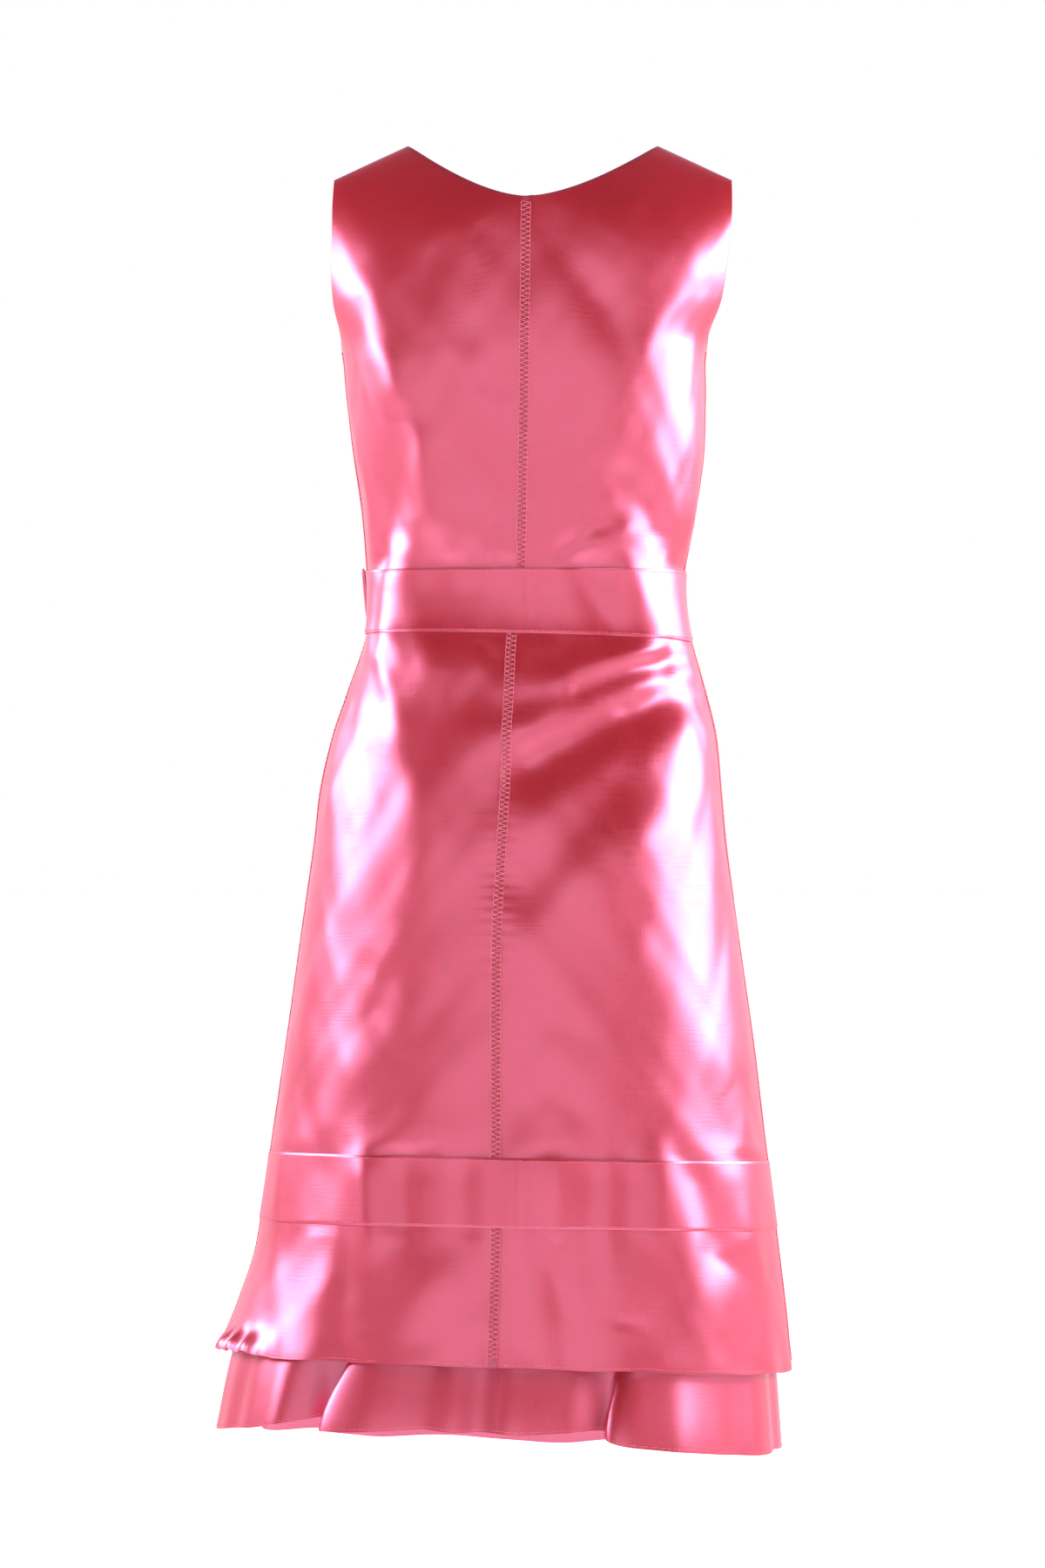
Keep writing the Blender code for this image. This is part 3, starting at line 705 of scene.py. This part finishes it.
def thread_places(points, start):
    """Weave coordinates in metres over a grid: across along each row, from start, and down each column."""
    across = np.linalg.norm(np.diff(points, axis=1), axis=-1)
    across = np.concatenate([np.zeros((len(points), 1)), np.cumsum(across, axis=1)], axis=1)
    down = np.linalg.norm(np.diff(points, axis=0), axis=-1)
    down = np.concatenate([np.zeros((1, points.shape[1])), np.cumsum(down, axis=0)])
    return np.stack([start + across, -down.mean(axis=1, keepdims=True) + 0 * across], axis=-1)


def grid_shell(name, outer, inner, material, closed=False, start=SEAMLESS):
    """A shell over a whole grid of outer and inner points."""
    quads = grid_faces(*outer.shape[:2], closed=closed)
    threads = thread_places(outer, start).reshape(-1, 2)
    return sheet_object(name, outer.reshape(-1, 3), inner.reshape(-1, 3), quads, material, threads)


def seam_pucker(level, shares):
    """Small puckers where stitching has drawn the cloth up beside the seam where the shares start."""
    near = np.clip(shares * PANEL_WIDTH / PUCKER_REACH, 0, 6)
    down = level / MM
    wave = np.sin(down * 0.62 + 2.2 * np.sin(down * 0.043)) * (0.55 + 0.45 * np.sin(down * 0.021 + 1))
    drawn = 1 + 2.2 * np.exp(-(((down + 610) / 45) ** 2)) + 1.2 * np.exp(-(((down + 425) / 22) ** 2))
    return PUCKER_STRENGTH * drawn * wave * near * np.exp(-near * 2.2) * PUCKER_REACH


def back_shell(name, side, material):
    """One half of the back, from the shoulder seam to the hem."""
    shares = edge_spaced(PANEL_WIDTH, PANEL_STEP, 0.9 * MM)
    around, level, height = half_places(BEHIND, side, shares, PANEL_STEP)
    below_neck = ease((BACK_NECK_BOTTOM - level) / (6 * MM))
    below_arm = ease((UNDERARM - level) / (20 * MM))
    push = np.where(shares < 0.5, below_neck, 1) * seam_dip(np.minimum(shares, 1 - shares))
    push = push + below_neck * seam_pucker(level, shares)
    push = push + below_arm * seam_pucker(level + 0.05, 1 - shares)
    outer = cloth_points(around, level, height, push)
    inner = cloth_points(around, level, height, push - CLOTH)
    return grid_shell(name, outer, inner, material, start=0.0)


def front_shell(name, material):
    """The front in one piece, whose halves meet below the neckline."""
    shares = edge_spaced(PANEL_WIDTH, FRONT_STEP, 1.2 * MM)
    halves = []
    for side in (1, -1):
        around, level, height = half_places(IN_FRONT, side, shares, FRONT_STEP)
        below_arm = ease((UNDERARM - level) / (20 * MM))
        push = seam_dip(1 - shares) * ease((UNDERARM - level) / (4 * MM) + 1)
        push = push + below_arm * seam_pucker(level + 0.03, 1 - shares)
        outer = cloth_points(around, level, height, push)
        inner = cloth_points(around, level, height, push - CLOTH)
        threads = thread_places(outer, start=0.0) * np.array([side, 1]) + np.array([SEAMLESS, 0])
        halves.append((outer, inner, threads))
    rows, columns = halves[0][0].shape[:2]
    count = rows * columns
    quads = grid_faces(rows, columns)
    first_joined = round(FRONT_NECK_SHARE * yoke_rows(FRONT_STEP))
    row, column = np.divmod(quads, columns)
    on_centre = (column == 0) & (row >= first_joined)
    left = np.where(on_centre, quads, quads + count)[:, ::-1]
    points = [np.concatenate([half[index].reshape(count, -1) for half in halves]) for index in range(3)]
    quads = np.concatenate([quads, left])
    used = np.unique(quads)
    place = np.zeros(2 * count, dtype=int)
    place[used] = np.arange(len(used))
    outer, inner, threads = (part[used] for part in points)
    return sheet_object(name, outer, inner, place[quads], material, threads)


def ribbon_points(ribbon, angle, level, inward=0.0):
    """Points of a ribbon's face; its lower edge drops lower towards the wearer's right at the back."""
    height = ribbon.top - ribbon.bottom
    share = (level - ribbon.bottom) / height
    edge = np.minimum(share, 1 - share) * height
    fold = 0.3 * MM * np.exp(-((edge / (1.0 * MM)) ** 2))
    swing = ((1 + np.sin(angle)) / 2) ** 2 * ease(np.cos(angle) / 0.5 + 0.6)
    lowered = level - ribbon.drop * swing * (1 - share)
    lift = RIBBON_LIFT + RIBBON + 0.4 * gentle_unevenness(angle, level) - fold
    lift = lift - inward * (RIBBON - 0.6 * fold)
    return cloth_points(angle, lowered, out=lift, fine=False)


def ribbon_ring(name, ribbon, material):
    """A ribbon round the dress, its edges' rows close together so that they look folded."""
    spacing = edge_spaced(ribbon.top - ribbon.bottom, RIBBON_STEP, 0.7 * MM)
    angles = np.linspace(0, 2 * math.pi, int(ribbon.girth / RIBBON_STEP) + 1)[:-1]
    angle, level = np.meshgrid(angles, mix(ribbon.top, ribbon.bottom, spacing))
    outer = ribbon_points(ribbon, angle, level)
    inner = ribbon_points(ribbon, angle, level, inward=1.0)
    return grid_shell(name, outer, inner, material, closed=True)


def flounce_points(angle, level, wall):
    """Points of the under-flounce, which hangs from inside the skirt behind the band."""
    degrees = (np.degrees(angle) + 180) % 360 - 180
    fold = columns_at(FLOUNCE_FOLDS, degrees)
    loose = ease((FLOUNCE_TOP - 60 * MM - level) / (FLOUNCE_TOP - 60 * MM - FLOUNCE_HEM))
    turned = sum(
        over.reach * np.exp(-(((degrees - over.angle) / over.spread) ** 2)) for over in OVERLAPS
    )
    angle = angle - np.radians(turned) * loose
    above_skirt_hem = np.clip((FLOUNCE_TOP - level) / (FLOUNCE_TOP - SKIRT_HEM), 0, 1)
    inset = WALL + FLOUNCE_CLEARANCE + FLOUNCE_INSET * above_skirt_hem
    free = ease((FLOUNCE_TOP - level) / (FLOUNCE_TOP - FLOUNCE_HEM))
    ripple = 0.5 * np.sin(np.radians(degrees * 31) + 1.3) * free
    flare = FLOUNCE_FLARE * free**2 * np.cos(angle) ** 2
    out = flare - inset - wall + (fold.bulge * free + ripple) * MM
    points = cloth_points(angle, level, out=out, fine=False)
    points[..., 2] -= fold.hang * free * MM
    return points


def flounce_shell(name, material):
    """The flounce that shows below the skirt's hem."""
    levels = mix(FLOUNCE_TOP, FLOUNCE_HEM, edge_spaced(FLOUNCE_TOP - FLOUNCE_HEM, FLOUNCE_STEP, 0.8 * MM))
    angles = np.linspace(0, 2 * math.pi, int(FLOUNCE_GIRTH / FLOUNCE_AROUND_STEP) + 1)[:-1]
    angle, level = np.meshgrid(angles, levels)
    outer = flounce_points(angle, level, 0.0)
    inner = flounce_points(angle, level, CLOTH)
    return grid_shell(name, outer, inner, material, closed=True)


def bow_patch(name, columns, rows, place, material):
    """A rounded pad on the belt; place gives angle, level and thickness."""
    along, across = np.meshgrid(np.linspace(0, 1, columns), np.linspace(1, -1, rows))
    angle, level, thickness = place(along, across)
    outer = cloth_points(np.radians(angle), level, out=BOW_LIFT + thickness, fine=False)
    inner = cloth_points(np.radians(angle), level, out=BOW_LIFT, fine=False)
    return grid_shell(name, outer, inner, material)


def bow_loop(name, towards_back, material):
    """A loop of the bow, pressed flat, with creases that run out of the knot."""

    def place(along, across):
        reach = mix(LOOP_START, LOOP_END + LOOP_SLANT * across, along)
        half = mix(LOOP_ROOT_HALF, LOOP_END_HALF, ease(along / 0.6))
        level = BOW_LEVEL + LOOP_RISE * along + half * across
        edge = np.sqrt(1 - across**2)
        fullness = edge * np.sin(np.pi * mix(0.12, 0.95, along))
        pleats = 0.9 * np.cos(across * 9 + 0.6) * np.exp(-((along / 0.45) ** 2)) * edge
        return BOW_ANGLE + towards_back * reach, level, mix(LOOP_EDGE, LOOP_THICK, fullness) + pleats * MM

    return bow_patch(name, 48, 36, place, material)


def bow_knot(name, material):
    """The short wrap over the middle of the bow, drawn into upright pleats."""

    def place(along, across):
        aside = 2 * along - 1
        fullness = np.sqrt(np.clip((1 - aside**2) * (1 - across**4), 0, 1))
        pleats = 0.5 * np.cos(aside * 8.5) * fullness
        return (
            BOW_ANGLE + KNOT_SPREAD * aside,
            BOW_LEVEL + KNOT_HALF_HEIGHT * across,
            mix(LOOP_EDGE, KNOT_THICK, fullness) + pleats * MM,
        )

    return bow_patch(name, 30, 36, place, material)


def tube_mesh(paths, radius, sides):
    """Points and faces of thin closed tubes along many paths of equal length."""
    paths = np.asarray(paths)
    tangent = np.gradient(paths, axis=1)
    tangent /= np.linalg.norm(tangent, axis=-1, keepdims=True) + 1e-12
    reference = np.where(np.abs(tangent[..., 2:]) > 0.9, [1.0, 0.0, 0.0], [0.0, 0.0, 1.0])
    side = np.cross(tangent, reference)
    side /= np.linalg.norm(side, axis=-1, keepdims=True) + 1e-12
    up = np.cross(side, tangent)
    turns = np.arange(sides) * 2 * math.pi / sides
    circle = (
        side[:, :, None] * np.cos(turns)[None, None, :, None]
        + up[:, :, None] * np.sin(turns)[None, None, :, None]
    )
    points = paths[:, :, None] + radius * circle
    count, length = paths.shape[:2]
    one = grid_faces(length, sides, closed=True)
    quads = (one[None] + (np.arange(count) * length * sides)[:, None, None]).reshape(-1, 4)
    first = np.arange(sides)[::-1]
    last = first[::-1] + (length - 1) * sides
    caps = [base + cap for base in np.arange(count) * length * sides for cap in (first, last)]
    return points.reshape(-1, 3), quads, caps


def thread_object(name, groups, material):
    """One joined mesh of thread tubes; groups hold paths, radius and sides."""
    points, faces = [], []
    start = 0
    for paths, radius, sides in groups:
        made, quads, caps = tube_mesh(paths, radius, sides)
        points.append(made)
        faces += (quads + start).tolist() + [(cap + start).tolist() for cap in caps]
        start += len(made)
    return riding_piece(name, np.concatenate(points), faces, material)


def seam_path(kind, levels):
    """Angles down a seam: centre back, or the left or right side."""
    if kind == "centre_back":
        return seam_angle(levels)
    side = -1 if kind == "left_side" else 1
    return np.full(len(levels), side * SIDE_ANGLE)


def seam_stitching(kind, start, material):
    """Zigzag stitching between two stitched lines down a seam, from its start to the hem."""
    top, bottom = start - SEAM_END, SKIRT_HEM + SEAM_END
    count = int((top - bottom) / STITCH_PITCH)

    def on_cloth(level_share, aside, lift):
        level = mix(top, bottom, level_share)
        angle = seam_path(kind, level.ravel()).reshape(level.shape)
        ring = rings_at(level)
        reach = (ring.half_width if kind == "centre_back" else ring.back) * MM
        return cloth_points(angle + aside / reach, level, out=lift)

    steps = np.arange(count)[:, None]
    leg = np.linspace(0, 1, 4)[None, :]
    dash = np.linspace(0.06, 0.94, 4)[None, :]
    zigs, lines = [], []
    for sign in (1, -1):
        share = (steps + (0.0 if sign > 0 else 0.5) + 0.5 * leg) / (count + 1)
        aside = sign * STITCH_HALF * mix(-0.9, 0.9, leg) + 0 * steps
        zigs.append(on_cloth(share, aside, 0.35 * MM + 0.25 * MM * np.sin(math.pi * leg) + 0 * steps))
        share = (steps + dash) / (count + 1)
        aside = sign * STITCH_HALF + 0 * share
        lines.append(on_cloth(share, aside, 0.15 * MM + 0.35 * MM * np.sin(math.pi * dash) + 0 * steps))
    groups = [(np.concatenate(zigs), THREAD, 5), (np.concatenate(lines), THREAD * 0.9, 5)]
    return thread_object(f"{kind}_stitching", groups, material)


def ring_stitching(name, place, girth, material):
    """Running stitches round the dress; place gives points for angles and a lift off the cloth."""
    count = int(girth / RUNNING_PITCH)
    dash = np.linspace(0.1, 0.86, 4)[None, :]
    angle = (np.arange(count)[:, None] + dash) * 2 * math.pi / count
    rise = 0.10 * MM + 0.2 * MM * np.sin(math.pi * (dash - 0.1) / 0.76) + 0 * angle
    return thread_object(name, [(place(angle, rise), RUNNING_THREAD, 4)], material)


def edge_stitching(name, ribbon, material):
    """Running stitches just inside the top and the foot of a ribbon."""

    def stitches(edge, level):
        def place(angle, rise):
            return lifted(ribbon_points(ribbon, angle, np.full(angle.shape, level)), rise)

        return ring_stitching(f"{name}_{edge}_stitching", place, ribbon.girth, material)

    return stitches("top", ribbon.top - EDGE_STITCH), stitches("foot", ribbon.bottom + EDGE_STITCH)


def lifted(points, rise):
    """Points moved away from the dress's upright axis."""
    away = points * np.array([1.0, 1.0, 0.0])
    away /= np.linalg.norm(away, axis=-1, keepdims=True)
    return points + away * rise[..., None]


def skirt_hem_place(angle, rise):
    """Places for stitches just above the skirt's hem."""
    return cloth_points(angle, np.full(angle.shape, SKIRT_HEM + HEM_STITCH), out=rise)


def flounce_hem_place(angle, rise):
    """Places for stitches just above the flounce's hem."""
    points = flounce_points(angle, np.full(angle.shape, FLOUNCE_HEM + HEM_STITCH), 0.0)
    return lifted(points, rise)


def connect(tree, node, inputs):
    """Give a node's inputs their numbers and colours, or other nodes' outputs."""
    for name, value in inputs.items():
        if isinstance(value, bpy.types.NodeSocket):
            tree.links.new(value, node.inputs[name])
        else:
            node.inputs[name].default_value = value


def add_node(tree, kind, inputs):
    """A new node with its inputs."""
    node = tree.nodes.new(kind)
    connect(tree, node, inputs)
    return node


def map_range(tree, value, before, after):
    """A value moved from one range to another."""
    ends = {"From Min": before[0], "From Max": before[1], "To Min": after[0], "To Max": after[1]}
    return add_node(tree, "ShaderNodeMapRange", {"Value": value, **ends}).outputs["Result"]


def calculated(tree, operation, first, second, clamp=False):
    """The sum, product or quotient of two values."""
    node = add_node(tree, "ShaderNodeMath", {0: first, 1: second})
    node.operation = operation
    node.use_clamp = clamp
    return node.outputs["Value"]


def tones(tree, value, base, darker, paler, start=0.0):
    """The base colour from a darker to a paler shade as a value runs from start to 1."""
    ramp = add_node(tree, "ShaderNodeValToRGB", {"Fac": value})
    low, high = ramp.color_ramp.elements
    low.position = start
    low.color = (*[darker * channel for channel in base], 1)
    high.color = (*[min(paler * channel, 1) for channel in base], 1)
    return ramp.outputs["Color"]


def stretched_noise(tree, place, scale, detail):
    """Noise over the weave places, stretched by its scale across and along the cloth."""
    stretched = add_node(tree, "ShaderNodeMapping", {"Vector": place, "Scale": (*scale, 1)})
    inputs = {"Vector": stretched.outputs["Vector"], "Scale": 1.0, "Detail": detail}
    return add_node(tree, "ShaderNodeTexNoise", inputs).outputs["Fac"]


def new_material(name):
    """A material, its nodes and its main shader."""
    material = bpy.data.materials.new(name)
    material.use_nodes = True
    return material, material.node_tree, material.node_tree.nodes["Principled BSDF"]


def satin(name, base, thread_scale=1.0):
    """Glossy silk satin: long floats catch the light across them, over fine slubs and weave, with painted
    shade beside the centre-back seam.
    """
    material, tree, shader = new_material(name)
    threads = tree.nodes.new("ShaderNodeUVMap")
    threads.uv_map = "threads"
    place = threads.outputs["UV"]
    tangent = tree.nodes.new("ShaderNodeTangent")
    tangent.direction_type = "UV_MAP"
    tangent.uv_map = "threads"
    slubs = stretched_noise(tree, place, (900 * thread_scale, 60 * thread_scale), 2.0)
    cross = stretched_noise(tree, place, (45 * thread_scale, 700 * thread_scale), 1.0)
    weave = calculated(tree, "ADD", slubs, cross)

    across = add_node(tree, "ShaderNodeSeparateXYZ", {"Vector": place}).outputs["X"]
    # Painted shade: the colour darkens to SEAM_SHADE beside the centre-back seam, where the stitching
    # shades the cloth; the same factor also makes the cloth rougher there
    painted_seam_shade = map_range(tree, across, (SEAM_BED, SEAM_BED + 0.8 * MM), (SEAM_SHADE, 1.0))
    weave_tones = tones(tree, weave, base, 0.9, 1.08, start=0.7)
    shaded = tree.nodes.new("ShaderNodeVectorMath")
    shaded.operation = "SCALE"
    connect(tree, shaded, {0: weave_tones, "Scale": painted_seam_shade})
    roughness = map_range(tree, weave, (0.6, 1.4), (SMOOTHEST, ROUGHEST))
    bump = {"Height": weave, "Strength": WEAVE_BUMP, "Distance": 0.25 * MM}
    connect(tree, shader, {
        "Base Color": shaded.outputs["Vector"],
        "Roughness": calculated(tree, "DIVIDE", roughness, painted_seam_shade, clamp=True),
        "Normal": add_node(tree, "ShaderNodeBump", bump).outputs["Normal"],
        "Tangent": tangent.outputs["Tangent"],
        "IOR": SATIN_IOR,
        "Specular IOR Level": 0.5,
        "Specular Tint": GLOSS_COLOUR,
        "Anisotropic": 0.4,
        "Sheen Weight": 0.12,
        "Sheen Roughness": 0.35,
        "Sheen Tint": SHEEN_COLOUR,
    })
    return material


def thread_material(name, base):
    """Lustrous sewing thread with a fine twist."""
    material, tree, shader = new_material(name)
    place = tree.nodes.new("ShaderNodeTexCoord").outputs["Object"]
    twist = add_node(tree, "ShaderNodeTexNoise", {"Vector": place, "Scale": 900})
    colour = tones(tree, twist.outputs["Fac"], base, 0.8, 1.15)
    connect(tree, shader, {"Base Color": colour, "Roughness": 0.42, "Sheen Weight": 0.3})
    return material


def area_light(name, place, target, size, power, colour, roll):
    """A soft oval light that faces its target, rolled about its own axis."""
    light = bpy.data.lights.new(name, "AREA")
    light.shape = "ELLIPSE"
    light.size, light.size_y = size
    light.energy = power
    light.color = colour
    lamp = bpy.data.objects.new(name, light)
    lamp.location = place
    lamp.rotation_mode = "QUATERNION"
    facing = (Vector(target) - Vector(place)).to_track_quat("-Z", "Y")
    lamp.rotation_quaternion = facing @ Quaternion((0, 0, 1), roll)
    bpy.context.collection.objects.link(lamp)
    return lamp


def floor_material():
    """A plain white floor that stays white under its own faint glow."""
    material, tree, shader = new_material("studio_white")
    connect(tree, shader, {
        "Base Color": (0.93, 0.93, 0.93, 1),
        "Roughness": 0.9,
        "Emission Color": (1, 1, 1, 1),
        "Emission Strength": 1.0,
    })
    return material


def brightness_ramp(tree, along, first, last, stops):
    """Brightness along one part of a direction, which runs from -1 to 1."""
    place = map_range(tree, along, (-1, 1), (0, 1))
    ramp = add_node(tree, "ShaderNodeValToRGB", {"Fac": place})
    ramp.color_ramp.interpolation = "EASE"
    marks = ramp.color_ramp.elements
    marks[0].color = (first, first, first, 1)
    marks[1].color = (last, last, last, 1)
    for part, share in stops:
        mark = marks.new((part + 1) / 2)
        mark.color = (share, share, share, 1)
    return ramp.outputs["Color"]


def surround():
    """A surround that is white to the camera and brightest at eye level in reflections."""
    world = bpy.data.worlds.new("studio_surround")
    bpy.context.scene.world = world
    world.use_nodes = True
    tree = world.node_tree
    direction = tree.nodes.new("ShaderNodeTexCoord").outputs["Generated"]
    parts = add_node(tree, "ShaderNodeSeparateXYZ", {"Vector": direction})
    by_height = brightness_ramp(tree, parts.outputs["Z"], LOWEST, HIGHEST, HEIGHT_STOPS)
    by_depth = brightness_ramp(tree, parts.outputs["Y"], REARMOST, FOREMOST, DEPTH_STOPS)
    both = calculated(tree, "MULTIPLY", by_height, by_depth)
    mirrored = calculated(tree, "MULTIPLY", both, HORIZON_BRIGHTNESS)
    to_camera = tree.nodes.new("ShaderNodeLightPath").outputs["Is Camera Ray"]
    seen = add_node(tree, "ShaderNodeMix", {"Factor": to_camera, "A": mirrored, "B": 1.0})
    background = {"Color": (1.0, 1.0, 1.0, 1), "Strength": seen.outputs["Result"]}
    connect(tree, tree.nodes["Background"], background)


def studio():
    """Pale floor, tall soft lights at the sides that fade at their edges, and two fill lights."""
    bpy.ops.mesh.primitive_circle_add(vertices=96, radius=40, fill_type="NGON", location=(0, 0, FLOOR_Z))
    floor = bpy.context.object
    floor.name = "studio_floor"
    floor.data.materials.append(floor_material())

    for side, foot, top in ((-1, LEFT_BOX_FOOT, LEFT_BOX_TOP), (1, RIGHT_BOX_FOOT, RIGHT_BOX_TOP)):
        middle_height = (top + foot) / 2
        for layer, share in enumerate(SIDE_BOX_SHARES):
            tall = (top - foot) * share
            wide = SIDE_BOX_WIDTH * mix(1, share, SIDE_BOX_NARROWING)
            place = (side * (SIDE_BOX_AWAY - 0.01 * layer), 0.0, middle_height)
            area_light(
                f"side_box_{side}_{layer}", place, (0, 0, middle_height), (wide, tall),
                SIDE_BOX_GLOW * wide * tall, SIDE_BOX_COLOUR, side * SIDE_BOX_ROLL,
            )
        fill = area_light(
            f"fill_box_{side}", (0, side * FILL_AWAY, FILL_HEIGHT), DRESS_MIDDLE, (FILL_SIZE, FILL_SIZE),
            FILL_POWER, (1, 1, 1), 0.0,
        )
        fill.visible_glossy = False


def camera():
    """A level camera, four metres behind the dress, as in the photograph."""
    data = bpy.data.cameras.new("camera")
    data.sensor_width = SENSOR
    data.lens = SENSOR * CAMERA_DISTANCE / (IMAGE_HEIGHT * PIXEL)
    eye = bpy.data.objects.new("camera", data)
    eye.location = (CAMERA_X, -CAMERA_DISTANCE, CAMERA_Z)
    eye.rotation_euler = (math.pi / 2, 0, 0)
    bpy.context.collection.objects.link(eye)
    bpy.context.scene.camera = eye


def colour_handling():
    """Plain display colours, so the white surround stays white."""
    view = bpy.context.scene.view_settings
    view.view_transform = "Standard"
    view.look = "None"
    view.exposure = 0.0


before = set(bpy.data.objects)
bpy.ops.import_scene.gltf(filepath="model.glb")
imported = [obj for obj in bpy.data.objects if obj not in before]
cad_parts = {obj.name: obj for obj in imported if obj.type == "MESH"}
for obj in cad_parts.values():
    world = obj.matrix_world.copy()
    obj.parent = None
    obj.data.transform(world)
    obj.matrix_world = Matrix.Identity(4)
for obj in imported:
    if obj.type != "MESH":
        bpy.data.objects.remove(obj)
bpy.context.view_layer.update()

camera()
surround()
studio()
colour_handling()

coral = satin("coral_satin", SATIN_COLOUR)
ribbon = satin("coral_ribbon", RIBBON_COLOUR, thread_scale=1.2)
thread = thread_material("coral_thread", THREAD_COLOUR)

back_left = back_shell("back_left_satin", -1, coral)
back_right = back_shell("back_right_satin", 1, coral)
front = front_shell("front_satin", coral)
belt = ribbon_ring("belt_ribbon", BELT, ribbon)
band = ribbon_ring("hem_band_ribbon", BAND, ribbon)
flounce = flounce_shell("under_flounce_satin", coral)
knot = bow_knot("bow_knot_ribbon", ribbon)
loop_back = bow_loop("bow_loop_back_ribbon", 1, ribbon)
loop_front = bow_loop("bow_loop_front_ribbon", -1, ribbon)

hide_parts("back_left")
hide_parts("back_right")
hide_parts("front")
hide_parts("belt")
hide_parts("hem_band")
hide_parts("under_flounce")
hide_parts("bow_knot")
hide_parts("bow_loop_back")
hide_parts("bow_loop_front")

centre_stitches = seam_stitching("centre_back", BACK_NECK_BOTTOM, thread)
left_stitches = seam_stitching("left_side", UNDERARM, thread)
right_stitches = seam_stitching("right_side", UNDERARM, thread)
belt_top_stitches, belt_foot_stitches = edge_stitching("belt", BELT, thread)
band_top_stitches, band_foot_stitches = edge_stitching("band", BAND, thread)
skirt_hem_stitches = ring_stitching("skirt_hem_stitching", skirt_hem_place, SKIRT_HEM_GIRTH, thread)
flounce_hem_stitches = ring_stitching("flounce_hem_stitching", flounce_hem_place, FLOUNCE_HEM_GIRTH, thread)
